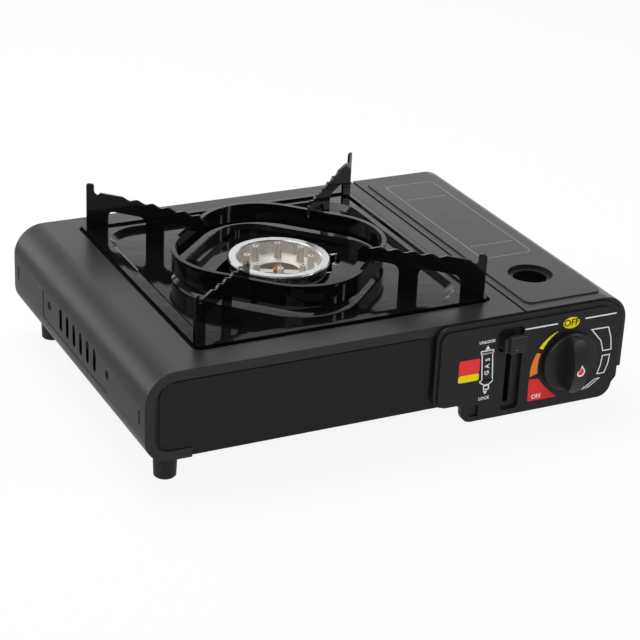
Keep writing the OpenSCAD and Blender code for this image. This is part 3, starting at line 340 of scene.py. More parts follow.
@dataclass
class PaintShop:
    """Makes each finish once and gives it to the pieces."""

    groups: SurfaceGroups = field(default_factory=SurfaceGroups)
    made: dict[str, bpy.types.Material] = field(default_factory=dict)
    mark_scale: float = 16.0
    dust_tone: float = 120.0
    coat_roughness: float = 0.04

    def material(self, finish: Finish) -> bpy.types.Material:
        """Return the material of a finish, and build it on first use.

        Args:
            finish: The finish to build.

        Returns:
            Its material.
        """
        if finish.name in self.made:
            return self.made[finish.name]
        material = bpy.data.materials.new(finish.name)
        material.use_nodes = True
        kit = NodeKit(material.node_tree)
        shape = finish.grain.value
        place = kit.node("ShaderNodeTexCoord").outputs["Object"]
        normal = kit.node("ShaderNodeNewGeometry").outputs["Normal"]
        grain, marks, dust = (
            kit.node("ShaderNodeGroup", {"Vector": place, **feeds}, node_tree=group).outputs
            for group, feeds in (
                (self.groups.grain, {"Size": shape.size, "Stretch": shape.stretch}),
                (self.groups.marks, {"Scale": self.mark_scale}),
                (self.groups.dust, {"Amount": finish.dust, "Normal": normal}),
            )
        )
        base = [linear(tone) for tone in finish.tones]
        dark, light = (
            [min(1.0, value * (1 + change)) for value in base] + [1.0]
            for change in (-shape.variation, shape.variation)
        )
        feeds = {"A": dark, "B": light, "Factor": grain["Variation"]}
        tint = kit.node("ShaderNodeMix", feeds, data_type="RGBA").outputs["Result"]
        grey = [linear(self.dust_tone)] * 3 + [1.0]
        feeds = {"A": tint, "B": grey, "Factor": dust["Mask"]}
        dusty = kit.node("ShaderNodeMix", feeds, data_type="RGBA")
        spread = kit.maths("MULTIPLY", marks["Mask"], finish.smudge)
        feeds = {"Strength": 1.0, "Distance": shape.depth, "Height": grain["Height"]}
        bump = kit.node("ShaderNodeBump", feeds)
        kit.feed(kit.tree.nodes["Principled BSDF"], {
            "Base Color": dusty.outputs["Result"],
            "Roughness": kit.maths("ADD", spread, finish.roughness - finish.smudge / 2),
            "Metallic": finish.metallic,
            "Specular IOR Level": finish.specular,
            "Coat Weight": finish.coat,
            "Coat Roughness": self.coat_roughness,
            "Normal": bump.outputs["Normal"],
        })
        self.made[finish.name] = material
        return material

    def coat(self, piece: bpy.types.Object, finish: Finish) -> None:
        """Give a piece one finish."""
        piece.data.materials.clear()
        piece.data.materials.append(self.material(finish))


# ---------------------------------------------------------------------------------------------
# Meshes


@dataclass(frozen=True)
class Softening:
    """How a copied CAD mesh is cleaned and its edges rounded."""

    radius: float = 0.0
    segments: int = 2
    smooth_deg: float = 30.0
    merge: float = 0.000004
    flat_deg: float = 0.6
    most_corners: int = 8


@dataclass
class Bench:
    """Turns CAD nodes into dressed pieces that ride on their bodies."""

    paint: PaintShop

    @staticmethod
    def body(node: str) -> str:
        """Return the CAD body that a node belongs to."""
        return str(frame["nodes"][node]["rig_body"])

    def dress(self, node: str, finish: Finish, soft: Softening, weight: EdgeWeight | None = None) -> None:
        """Replace a CAD node by a merged copy with rounded edges and a finish.

        Args:
            node: Name of the CAD node.
            finish: The finish of the piece.
            soft: How the mesh is cleaned and rounded.
            weight: Share of the rounding that an edge gets, where it isn't the same for all.
        """
        limit = math.radians(soft.smooth_deg)
        mesh = frame["nodes"][node].data.copy()
        mesh.name = node + "_look"
        work = bmesh.new()
        work.from_mesh(mesh)
        bmesh.ops.remove_doubles(work, verts=work.verts, dist=soft.merge)
        bmesh.ops.dissolve_degenerate(work, edges=work.edges, dist=soft.merge)
        flat = math.radians(soft.flat_deg)
        bmesh.ops.dissolve_limit(work, angle_limit=flat, verts=work.verts, edges=work.edges)
        wide = [face for face in work.faces if len(face.verts) > soft.most_corners]
        bmesh.ops.triangulate(work, faces=wide, ngon_method="EAR_CLIP")
        bmesh.ops.recalc_face_normals(work, faces=work.faces)
        if weight is not None:
            layer = work.edges.layers.float.new("bevel_weight_edge")
            for edge in work.edges:
                if len(edge.link_faces) == 2 and edge.calc_face_angle(0.0) > limit:
                    edge[layer] = weight(edge)
        for face in work.faces:
            face.smooth = True
        work.to_mesh(mesh)
        work.free()
        mesh.set_sharp_from_angle(angle=limit)
        piece = placed(node + "_look", mesh)
        if soft.radius > 0:
            rounding = piece.modifiers.new("rounded edges", "BEVEL")
            rounding.width = soft.radius
            rounding.segments = soft.segments
            rounding.use_clamp_overlap = True
            rounding.limit_method = "WEIGHT" if weight is not None else "ANGLE"
            rounding.angle_limit = limit
        self._settle(piece)
        self.paint.coat(piece, finish)
        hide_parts(node)
        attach(piece, self.body(node))

    @staticmethod
    def _settle(piece: bpy.types.Object) -> None:
        """Apply a piece's rounding and let its large faces lead the shading.

        Args:
            piece: The piece, with its modifiers in place.
        """
        leading = piece.modifiers.new("large faces lead", "WEIGHTED_NORMAL")
        leading.mode = "FACE_AREA"
        leading.weight = 50
        leading.keep_sharp = True
        graph = bpy.context.evaluated_depsgraph_get()
        rounded = bpy.data.meshes.new_from_object(piece.evaluated_get(graph))
        rounded.name = piece.data.name
        piece.modifiers.clear()
        piece.data = rounded

    def piece(self, name: str, mesh: bpy.types.Mesh, finish: Finish, body: str) -> None:
        """Make a piece of its own from a mesh that is already in place.

        Args:
            name: Name of the piece.
            mesh: Its mesh, in the row frame.
            finish: Its finish.
            body: The CAD body that it rides on.
        """
        made = placed(name, mesh)
        self.paint.coat(made, finish)
        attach(made, body)


def edge_in_plane(edge: Edge, axis: int, value: float) -> bool:
    """Return whether both ends of an edge lie in a plane across one axis."""
    return all(abs(vert.co[axis] - value) < PLANE_SLACK for vert in edge.verts)


def face_span(face: bmesh.types.BMFace, axis: int) -> float:
    """Return how far a face reaches along one axis."""
    values = [vert.co[axis] for vert in face.verts]
    return max(values) - min(values)


# ---------------------------------------------------------------------------------------------
# Printing


@dataclass(frozen=True)
class Sheet:
    """A flat face that takes print, with the directions in which its two lengths run."""

    origin: Vector
    across: Vector
    upward: Vector
    out: Vector

    def at(self, point: Point, lift: float) -> Vector:
        """Return the row-frame place of a point in millimetres, lifted off the face by metres."""
        return self.origin + self.across * point[0] * MM + self.upward * point[1] * MM + self.out * lift


@dataclass
class Printer:
    """Lays flat inks on a sheet and gathers each colour in one mesh."""

    sheet: Sheet
    ink_height: float = 0.00005
    layer_height: float = 0.00003
    sharpest_turn: float = 0.4
    capital_share: float = 0.7
    bold_share: float = 0.035
    work: bmesh.types.BMesh = field(default_factory=bmesh.new)

    def fill(self, outline: Sequence[Point], layer: int = 0) -> None:
        """Print a filled outline.

        Args:
            outline: Its corners, in millimetres.
            layer: How many inks lie under it.
        """
        low = self.layer_height * layer
        ring = [self.work.verts.new(self.sheet.at(point, 0.0)) for point in outline]
        top = [self.work.verts.new(self.sheet.at(point, low + self.ink_height)) for point in outline]
        self.work.faces.new(ring)
        self.work.faces.new(top)
        for index in range(len(ring)):
            after = (index + 1) % len(ring)
            self.work.faces.new((ring[index], ring[after], top[after], top[index]))

    def line(self, outline: Sequence[Point], width: float, closed: bool = True, layer: int = 0) -> None:
        """Print a line of even width along an outline.

        Args:
            outline: Points of its middle, in millimetres.
            width: Width of the line, in millimetres.
            closed: Whether the last point joins the first.
            layer: How many inks lie under it.
        """
        count = len(outline)
        sides: list[tuple[Point, Point]] = []
        for index, point in enumerate(outline):
            before = Vector(outline[index - 1] if index or closed else point)
            after = Vector(outline[(index + 1) % count] if index < count - 1 or closed else point)
            here = Vector(point)
            first = (here - before).normalized() if (here - before).length else (after - here).normalized()
            second = (after - here).normalized() if (after - here).length else first
            along = (first + second).normalized()
            reach = width / 2 / max(self.sharpest_turn, along.dot(first))
            side = Vector((-along.y, along.x)) * reach
            sides.append((tuple(here + side), tuple(here - side)))
        for index in range(count if closed else count - 1):
            (a, b), (c, d) = sides[index], sides[(index + 1) % count]
            self.fill((a, c, d, b), layer)

    def text(self, words: str, middle: Point, height: float, turn_deg: float = 0.0, layer: int = 0) -> None:
        """Print plain generic words.

        Args:
            words: What is printed.
            middle: Middle of the words, in millimetres.
            height: Height of the capitals, in millimetres.
            turn_deg: Turn of the words on the sheet.
            layer: How many inks lie under them.
        """
        curve = bpy.data.curves.new("words", "FONT")
        curve.body = words
        curve.align_x = "CENTER"
        curve.align_y = "CENTER"
        curve.size = height / self.capital_share
        curve.offset = height * self.bold_share
        curve.resolution_u = 3
        curve.extrude = 1.0
        holder = placed("words", curve)
        graph = bpy.context.evaluated_depsgraph_get()
        flat = bpy.data.meshes.new_from_object(holder.evaluated_get(graph))
        turn = Matrix.Rotation(math.radians(turn_deg), 2)
        top = self.layer_height * layer + self.ink_height
        for vert in flat.vertices:
            spot = turn @ Vector(vert.co[:2]) + Vector(middle)
            vert.co = self.sheet.at(tuple(spot), top if vert.co.z > 0 else 0.0)
        self.work.from_mesh(flat)
        bpy.data.objects.remove(holder)
        bpy.data.curves.remove(curve)
        bpy.data.meshes.remove(flat)

    def bend(self, radius: float, middle: float, step: float = 0.0005) -> None:
        """Lay what was printed over a face that curves back above and below its middle.

        Args:
            radius: Radius of the face's curve, in metres.
            middle: Height of the face's middle in the row frame.
            step: Height of the strips into which the print is cut first.
        """
        reach = max(abs(vert.co.z - middle) for vert in self.work.verts)
        count = math.ceil(reach / step)
        for index in range(-count, count + 1):
            parts = [*self.work.verts, *self.work.edges, *self.work.faces]
            level = Vector((0, 0, middle + index * step))
            bmesh.ops.bisect_plane(self.work, geom=parts, plane_co=level, plane_no=self.sheet.upward)
        for vert in self.work.verts:
            drop = radius - math.sqrt(radius**2 - (vert.co.z - middle) ** 2)
            vert.co -= self.sheet.out * drop

    def mesh(self, name: str) -> bpy.types.Mesh:
        """Return all that was printed as one mesh, and clear the plate.

        Args:
            name: Name of the mesh.

        Returns:
            The mesh, in the row frame.
        """
        bmesh.ops.recalc_face_normals(self.work, faces=self.work.faces)
        printed = bpy.data.meshes.new(name)
        self.work.to_mesh(printed)
        self.work.clear()
        return printed


def polar(centre: Point, radius: float, angle_deg: float) -> Point:
    """Return the point at a radius and an angle from a centre."""
    angle = math.radians(angle_deg)
    return centre[0] + radius * math.cos(angle), centre[1] + radius * math.sin(angle)


def band(centre: Point, inner: Point, outer: Point, angles: Point, steps: int = 12) -> list[Point]:
    """Return the outline of a curved band around a centre.

    Args:
        centre: Middle of the band's circles.
        inner: Inner radius at its start and its end.
        outer: Outer radius at its start and its end.
        angles: Angle of its start and its end, in degrees.
        steps: How many parts each side has.

    Returns:
        The outline, in order.
    """
    shares = [step / steps for step in range(steps + 1)]

    def side(radii: Point, order: Iterable[float]) -> list[Point]:
        """Return one side of the band."""
        return [
            polar(
                centre,
                radii[0] + (radii[1] - radii[0]) * share,
                angles[0] + (angles[1] - angles[0]) * share,
            )
            for share in order
        ]

    return side(inner, shares) + side(outer, reversed(shares))


def round_box(low: Point, high: Point, radius: float, steps: int = 6) -> list[Point]:
    """Return the outline of a rectangle with round corners.

    Args:
        low: Its lower left corner.
        high: Its upper right corner.
        radius: Radius of its corners.
        steps: How many parts each corner has.

    Returns:
        The outline, in order.
    """
    corners = (
        ((high[0] - radius, low[1] + radius), -90),
        ((high[0] - radius, high[1] - radius), 0),
        ((low[0] + radius, high[1] - radius), 90),
        ((low[0] + radius, low[1] + radius), 180),
    )
    return [
        polar(middle, radius, start + 90 * step / steps)
        for middle, start in corners for step in range(steps + 1)
    ]


# ---------------------------------------------------------------------------------------------
# Sub-assemblies


@dataclass
class Casework:
    """The pressed case, its end plates and the sheets inside it."""

    bench: Bench
    edge_radius: float = 0.0024
    fine_share: float = 0.1
    opening_share: float = 0.45
    long_face: float = 0.1

    def _shell_weight(self, edge: Edge) -> float:
        """Return the rounding share of an edge of the case or the lid."""
        low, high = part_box("case_shell")
        for end in (low.y, high.y):
            if edge_in_plane(edge, 1, end) and any(
                face_span(face, 1) > self.long_face for face in edge.link_faces
            ):
                return 1.0
        if edge_in_plane(edge, 2, high.z):
            return self.opening_share
        return self.fine_share

    def build(self) -> None:
        """Dress the sheets."""
        soft = Softening(radius=self.edge_radius, segments=3)
        self.bench.dress("case_shell", Finishes.CASE.value, soft, self._shell_weight)
        self.bench.dress("lid", Finishes.CASE.value, soft, self._shell_weight)
        plate = Softening(radius=0.0005)
        for node in ("front_plate", "rear_plate"):
            self.bench.dress(node, Finishes.PLATE.value, plate)
        for node in ("base_plate", "bay_trough", "heat_shield", "vent_baffle"):
            self.bench.dress(node, Finishes.ZINC.value, Softening())
        LOG.info("case: shell, lid, two end plates and four inner sheets")


# The panel's print, in millimetres on its sheet; a word has its middle, height, turn and layer.
WHITE_RULES = (((259.4, 68.1), (284.0, 68.1)), ((305.0, 68.5), (329.4, 68.5)))
WHITE_OUTLINES = (
    ((311.2, 59.3), (324.2, 59.2), (327.2, 51), (328.3, 42.3), (321.8, 42.3), (319.4, 50)),
    ((321.9, 38.6), (327.6, 38.7), (327, 32), (324.6, 25.6), (319.2, 25.8), (321.2, 32)),
    ((321.2, 22.2), (317.6, 22.0), (312, 18.2), (305.8, 15.8), (313.4, 17.0)),
    ((228.4, 55.6), (236.2, 55.6), (237.6, 36.4), (229.8, 36.4)),
    ((227.7, 57.7), (236.7, 57.7), (236.7, 55.8), (227.7, 55.8)),
    ((228.4, 36.4), (237.9, 36.4), (237.7, 35.2), (235.0, 33.2), (231.8, 33.2), (228.6, 35.2)),
    ((231.6, 32.6), (235.2, 32.6), (235.2, 29.9), (231.6, 29.9)),
)
WHITE_ARROWS = (((230.4, 58.6), (234.0, 58.6), (232.2, 61.4)), ((231.2, 28.9), (233.0, 26.3), (234.6, 28.9)))
WHITE_WORDS = (
    ("UNLOCK", (231.6, 64.0), 2.0, 0, 0), ("LOCK", (232.4, 23.6), 2.1, 0, 0),
    ("G", (233.0, 41.8), 3.1, 90, 0), ("A", (233.0, 46.6), 3.1, 90, 0), ("S", (233.0, 51.2), 3.1, 90, 0),
    ("ON", (272.4, 17.6), 3.1, 0, 1),
)
YELLOW_BAND = ((22.9, 22.6), (23.2, 25.9), (116, 155))
ORANGE_BAND = ((22.8, 24.0), (25.9, 30.2), (162.5, 197))
RED_SWEEP = ((24.6, 207), (24.3, 220), (24.7, 234), (26, 247), (27.7, 257))
RED_ENDS = ((265.7, 30.9), (266.2, 14.7))
STICKER_LOW = ((212.0, 37.6), (227.2, 42.6), 1.2)
STICKER_HIGH = ((212.0, 42.8), (227.2, 53.2), 1.4)


@dataclass
class ControlFace:
    """The control panel with its printed scale and marks."""

    bench: Bench
    panel_right_mm: float = 335.5
    panel_low_mm: float = 8.0
    border: float = 0.0010
    fine_share: float = 0.4
    rim_drop: float = 0.0012
    rim_wall: float = 0.0025
    deep_wall: float = 0.0030
    wall_slack: float = 0.00005
    dial_mm: Point = (295.0, 41.6)
    off_mm: Point = (294.6, 67.1)
    off_half_mm: Point = (6.3, 4.0)
    off_height: float = 4.6
    rule_width: float = 0.95
    outline_width: float = 0.75

    def _weight(self, edge: Edge) -> float:
        """Return the rounding share: the face and its rim are softer than the groove."""
        low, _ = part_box("control_panel")
        spans = [face_span(face, 1) for face in edge.link_faces]

        def beside(depth: float) -> bool:
            """Return whether a wall of this depth meets the edge."""
            return any(abs(span - depth) < self.wall_slack for span in spans)

        on_face = edge_in_plane(edge, 1, low.y) and (beside(self.rim_drop) or max(spans) > self.deep_wall)
        on_rim = edge_in_plane(edge, 1, low.y + self.rim_drop) and beside(self.rim_wall)
        return 1.0 if on_face or on_rim else self.fine_share

    def _sheet(self) -> Sheet:
        """Return the panel's front face as a sheet for print."""
        low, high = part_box("control_panel")
        origin = Vector((high.x - self.panel_right_mm * MM, low.y, low.z - self.panel_low_mm * MM))
        return Sheet(origin, *FRONT_AXES)

    def _white(self, ink: Printer) -> None:
        """Print the white rules, outlines, arrows and words."""
        for rule in WHITE_RULES:
            ink.line(rule, self.rule_width, closed=False)
        for outline in WHITE_OUTLINES:
            ink.line(outline, self.outline_width)
        for arrow in WHITE_ARROWS:
            ink.fill(arrow)
        for words, middle, height, turn, layer in WHITE_WORDS:
            ink.text(words, middle, height, turn, layer)

    def _lay(self, ink: Printer, colour: str, finish: Finishes) -> None:
        """Make a piece, named after its colour, of what one ink printed."""
        name = f"panel_print_{colour}"
        self.bench.piece(name, ink.mesh(name), finish.value, self.bench.body("control_panel"))

    def build(self) -> None:
        """Dress the panel and print it."""
        self.bench.dress(
            "control_panel", Finishes.PANEL.value, Softening(radius=self.border, segments=3), self._weight
        )
        ink = Printer(self._sheet())
        self._white(ink)
        self._lay(ink, "white", Finishes.INK_WHITE)
        ink.fill(band(self.dial_mm, *YELLOW_BAND))
        turns = [math.radians(10 * step) for step in range(36)]
        (x, z), (wide, tall) = self.off_mm, self.off_half_mm
        ink.fill([(x + wide * math.cos(turn), z + tall * math.sin(turn)) for turn in turns])
        ink.fill(round_box(*STICKER_LOW))
        self._lay(ink, "yellow", Finishes.INK_YELLOW)
        ink.fill(band(self.dial_mm, *ORANGE_BAND))
        self._lay(ink, "orange", Finishes.INK_ORANGE)
        curve = [polar(self.dial_mm, radius, angle) for radius, angle in RED_SWEEP]
        ink.fill([RED_ENDS[0], *curve, RED_ENDS[1]])
        ink.fill(round_box(*STICKER_HIGH))
        self._lay(ink, "red", Finishes.INK_RED)
        ink.text("OFF", self.off_mm, self.off_height, layer=1)
        self._lay(ink, "dark", Finishes.INK_DARK)
        LOG.info("control face: panel with five inks")


# The flame mark, in shares of its height.
FLAME = (
    (0.05, 1.0), (0.16, 0.78), (0.29, 0.62), (0.35, 0.42), (0.31, 0.2), (0.19, 0.05), (0.0, 0.0),
    (-0.2, 0.05), (-0.33, 0.2), (-0.34, 0.4), (-0.22, 0.56), (-0.19, 0.42), (-0.12, 0.6), (-0.02, 0.8),
)


@dataclass
class Controls:
    """The gas knob with its flame mark, and the lever knob."""

    bench: Bench
    fillet: float = 0.0022
    outer_share: float = 0.45
    grip_arc: float = 0.034
    mark_mm: Point = (-0.1, -0.6)
    mark_height: float = 8.6
    inner_drop: float = 0.4

    def _round_share(self, edge: Edge) -> float:
        """Return the rounding share of a knob's edge: full in a hollow, less on an outer edge."""
        return self.outer_share if edge.is_convex else 1.0

    def _flame(self, scale: float, drop: float) -> list[Point]:
        """Return the outline of the flame mark.

        Args:
            scale: Size as a share of the full mark.
            drop: How far it is moved down, in millimetres.

        Returns:
            The outline, in millimetres.
        """
        size = self.mark_height * scale
        x, z = self.mark_mm
        return [(x + a * size, z + (b - 0.5) * size - drop) for a, b in FLAME]

    def build(self) -> None:
        """Dress both knobs and print the flame mark on the curved grip."""
        soft = Softening(radius=self.fillet, segments=4)
        self.bench.dress("gas_knob", Finishes.KNOB.value, soft, self._round_share)
        self.bench.dress("lever_knob", Finishes.KNOB.value, Softening(radius=0.0007, segments=3))
        low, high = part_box("gas_knob")
        middle = (low + high) / 2
        axis = Vector((middle.x, low.y, middle.z))
        sheet = Sheet(axis, *FRONT_AXES)
        body = self.bench.body("gas_knob")
        for name, finish, scale, height in (
            ("knob_mark_white", Finishes.INK_WHITE.value, 1.0, 0.00004),
            ("knob_mark_red", Finishes.INK_RED.value, 0.7, 0.00007),
        ):
            plate = Printer(sheet, height)
            plate.fill(self._flame(scale, self.inner_drop * (1 - scale)))
            plate.bend(self.grip_arc, axis.z)
            self.bench.piece(name, plate.mesh(name), finish, body)
        LOG.info("controls: gas knob with its mark, lever knob")


@dataclass
class LidPrint:
    """The plain printed frame on the lid, left without words."""

    bench: Bench
    low_mm: Point = (277.4, 82.6)
    high_mm: Point = (316.4, 224.6)
    corner_mm: float = 4.0
    line_mm: float = 0.45
    rules_mm: tuple[float, ...] = (104.0, 196.0)
    right_mm: float = 340.0
    inset_mm: float = 3.0

    def build(self) -> None:
        """Print the frame and its two dividing rules on the raised field of the lid."""
        low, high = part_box("lid")
        origin = Vector((high.x - self.right_mm * MM, low.y, high.z))
        ink = Printer(Sheet(origin, *TOP_AXES))
        ink.line(round_box(self.low_mm, self.high_mm, self.corner_mm), self.line_mm)
        for y in self.rules_mm:
            ends = (self.low_mm[0] + self.inset_mm, y), (self.high_mm[0] - self.inset_mm, y)
            ink.line(ends, self.line_mm, closed=False)
        self.bench.piece("lid_print", ink.mesh("lid_print"), Finishes.INK_GREY.value, self.bench.body("lid"))
        LOG.info("lid print: frame and %d rules", len(self.rules_mm))


@dataclass(frozen=True)
class Dressing:
    """Nodes that share a finish and a rounding."""

    finish: Finishes
    nodes: tuple[str, ...]
    soft: Softening = Softening()


@dataclass
class PlainParts:
    """A sub-assembly whose pieces are its CAD nodes, dressed row by row."""

    bench: Bench
    title: str
    rows: tuple[Dressing, ...]

    def build(self) -> None:
        """Dress the nodes of every row."""
        for row in self.rows:
            for node in row.nodes:
                self.bench.dress(node, row.finish.value, row.soft)
        LOG.info("%s: %d parts", self.title, sum(len(row.nodes) for row in self.rows))


BURNER = (
    Dressing(Finishes.CASTING, ("burner_base",), Softening(radius=0.0004)),
    Dressing(Finishes.POLISH, ("burner_ring",), Softening(radius=0.0003)),
    Dressing(Finishes.CASTING, ("burner_bar",), Softening(radius=0.0003)),
    Dressing(Finishes.BRASS, ("burner_nozzle",), Softening(radius=0.0002)),
    Dressing(Finishes.ZINC, ("burner_bracket",)),
    Dressing(Finishes.TUBE, ("mixing_tube", "gas_pipe")),
    Dressing(Finishes.BRASS, ("jet_holder",), Softening(radius=0.0002)),
)
TRIVET = (
    Dressing(
        Finishes.ENAMEL, ("drip_tray",), Softening(radius=0.0009, segments=3, smooth_deg=18.0, merge=0.00003)
    ),
    Dressing(Finishes.ENAMEL, ("trivet_ring",), Softening(radius=0.0006, segments=3)),
    Dressing(
        Finishes.ENAMEL, ("fin_front_left", "fin_front_right", "fin_rear_left", "fin_rear_right"),
        Softening(radius=0.00035),
    ),
)
WORKS = (
    Dressing(Finishes.DIECAST, ("regulator_body",)),
    Dressing(Finishes.ZINC, ("regulator_bracket", "canister_carriage", "lock_lever")),
    Dressing(Finishes.BRASS, ("canister_seat", "valve_spindle")),
    Dressing(Finishes.SEAL, ("seal_ring",)),
    Dressing(Finishes.IGNITER, ("igniter_body",)),
    Dressing(Finishes.PLUNGER, ("igniter_plunger",)),
    Dressing(Finishes.LEAD, ("igniter_lead",), Softening(smooth_deg=46.0)),
    Dressing(Finishes.CERAMIC, ("electrode_ceramic",)),
    Dressing(Finishes.STEEL, (
        "electrode_wire", "lever_pin", "hinge_pin_front", "hinge_pin_rear", "foot_screws", "panel_screws",
        "bracket_screws",
    )),
)
FEET = (
    Dressing(
        Finishes.FOOT, ("foot_front_left", "foot_front_right", "foot_rear_left", "foot_rear_right"),
        Softening(radius=0.0005),
    ),
)


@dataclass
class SideScrews:
    """The two cross-recessed screws in the left wall, made by a node tree."""

    bench: Bench
    head_radius: float = 0.0029
    head_height: float = 0.0004
    slot_width: float = 0.0008
    slot_length: float = 0.0036
    slot_depth: float = 0.00028
    shank_radius: float = 0.0014
    shank_length: float = 0.0054
    crown_share: float = 0.86
    head_sides: int = 48
    edge_gap: float = 0.0001
    turn_seed: int = 7

    def _tree(self) -> Tree:
        """Return the node tree that sets a screw on each point."""
        tree = bpy.data.node_groups.new("screws on points", "GeometryNodeTree")
        sockets = (
            ("Points", "NodeSocketGeometry"), ("Head Radius", "NodeSocketFloat"),
            ("Head Height", "NodeSocketFloat"), ("Slot Size", "NodeSocketVector"),
            ("Shank Radius", "NodeSocketFloat"), ("Shank Length", "NodeSocketFloat"),
            ("Finish", "NodeSocketMaterial"),
        )
        for label, kind in sockets:
            tree.interface.new_socket(name=label, in_out="INPUT", socket_type=kind)
        tree.interface.new_socket(name="Geometry", in_out="OUTPUT", socket_type="NodeSocketGeometry")
        enter, leave = tree.nodes.new("NodeGroupInput").outputs, tree.nodes.new("NodeGroupOutput")
        kit = NodeKit(tree)
        screw = self._screw(kit, enter)
        spread = kit.node(
            "FunctionNodeRandomValue", {"Seed": self.turn_seed, 3: math.radians(90)}, data_type="FLOAT"
        )
        angle = kit.node("ShaderNodeCombineXYZ", {"X": spread.outputs[1]}).outputs[0]
        outward = (0.0, math.radians(-90), 0.0)
        turn = kit.node("FunctionNodeRotateEuler", {"Rotation": outward, "Rotate By": angle})
        onto = kit.node(
            "GeometryNodeInstanceOnPoints",
            {"Points": enter["Points"], "Instance": screw, "Rotation": turn.outputs[0]},
        )
        real = kit.node("GeometryNodeRealizeInstances", {0: onto.outputs[0]}).outputs[0]
        coat = kit.node("GeometryNodeSetMaterial", {"Geometry": real, "Material": enter["Finish"]})
        kit.feed(leave, {0: coat.outputs[0]})
        return tree

    def _screw(self, kit: NodeKit, enter: bpy.types.NodeOutputs) -> Socket:
        """Add one screw to the tree, its head up.

        Args:
            enter: The outputs of the tree's input node.

        Returns:
            The socket that carries the screw.
        """
        radius, height, length = enter["Head Radius"], enter["Head Height"], enter["Shank Length"]
        crown = kit.maths("MULTIPLY", radius, self.crown_share)
        head = kit.node(
            "GeometryNodeMeshCone",
            {"Vertices": self.head_sides, "Radius Bottom": radius, "Radius Top": crown, "Depth": height},
        ).outputs["Mesh"]
        lift = kit.node("ShaderNodeCombineXYZ", {"Z": height}).outputs[0]
        cut = kit.node("GeometryNodeMeshBoolean", {"Mesh 1": head}, operation="DIFFERENCE")
        for quarter in (0, 1):
            slot = kit.node("GeometryNodeMeshCube", {"Size": enter["Slot Size"]}).outputs["Mesh"]
            turned = (0.0, 0.0, math.radians(90 * quarter))
            feeds = {"Rotation": turned, "Geometry": slot, "Translation": lift}
            kit.feed(cut, {"Mesh 2": kit.node("GeometryNodeTransform", feeds).outputs[0]})
        shank = kit.node(
            "GeometryNodeMeshCylinder", {"Radius": enter["Shank Radius"], "Depth": length}
        ).outputs["Mesh"]
        under = kit.maths("MULTIPLY", length, -0.5)
        drop = kit.node("ShaderNodeCombineXYZ", {"Z": under}).outputs[0]
        lower = kit.node("GeometryNodeTransform", {"Geometry": shank, "Translation": drop})
        join = kit.node("GeometryNodeJoinGeometry")
        for part in (cut.outputs["Mesh"], lower.outputs[0]):
            kit.feed(join, {0: part})
        return join.outputs[0]

    def build(self) -> None:
        """Set the screws at the CAD node's places and stand in for it."""
        low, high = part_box("side_screws")
        middle_z = (low.z + high.z) / 2
        inset = self.head_radius + self.edge_gap
        spots = [(low.x + self.head_height, y, middle_z) for y in (low.y + inset, high.y - inset)]
        points = bpy.data.meshes.new("screw_points")
        points.from_pydata(spots, [], [])
        holder = placed("screw_points", points)
        tree = self._tree()
        modifier = holder.modifiers.new("screws", "NODES")
        modifier.node_group = tree
        values = {
            "Head Radius": self.head_radius,
            "Head Height": self.head_height,
            "Slot Size": (self.slot_length, self.slot_width, 2 * self.slot_depth),
            "Shank Radius": self.shank_radius,
            "Shank Length": self.shank_length,
            "Finish": self.bench.paint.material(Finishes.BLACKENED.value),
        }
        for item in tree.interface.items_tree:
            if item.in_out == "INPUT" and item.name in values:
                modifier[item.identifier] = values[item.name]
        graph = bpy.context.evaluated_depsgraph_get()
        mesh = bpy.data.meshes.new_from_object(holder.evaluated_get(graph))
        mesh.name = "side_screws_look"
        bpy.data.objects.remove(holder)
        piece = placed("side_screws_look", mesh)
        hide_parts("side_screws")
        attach(piece, self.bench.body("side_screws"))
        LOG.info("side screws: %d", len(spots))


# ---------------------------------------------------------------------------------------------
# Studio


@dataclass(frozen=True)
class Lamp:
    """A soft rectangular lamp that points at one height of the stove's middle."""

    name: str
    place: tuple[float, float, float]
    size: Point
    power: float
    aim_height: float = 0.05
    tint: Colour = (1, 1, 1)

    def hang(self) -> None:
        """Hang the lamp in its place."""
        data = bpy.data.lights.new(self.name, "AREA")
        data.shape = "RECTANGLE"
        data.size, data.size_y = self.size
        data.energy = self.power
        data.color = self.tint
        lamp = placed(self.name, data)
        lamp.location = self.place
        ahead = Vector((0.0, 0.0, self.aim_height)) - lamp.location
        lamp.rotation_euler = ahead.to_track_quat("-Z", "Y").to_euler()


LAMPS = (
    Lamp("top_soft", (-0.2, 0.5, 1.5), (1.4, 1.2), 22.0),
    Lamp("left_soft", (-1.6, 0.4, 0.8), (1.0, 0.8), 3.5, tint=(1.0, 0.98, 0.95)),
    Lamp("front_fill", (-0.9, -1.7, 1.4), (1.1, 0.9), 9.0),
    Lamp("window_a", (0.75, -0.85, 0.75), (0.10, 0.5), 2.0, aim_height=0.09),
    Lamp("window_b", (1.0, -0.6, 0.75), (0.08, 0.5), 1.6, aim_height=0.09, tint=(0.9, 0.94, 1.0)),
)


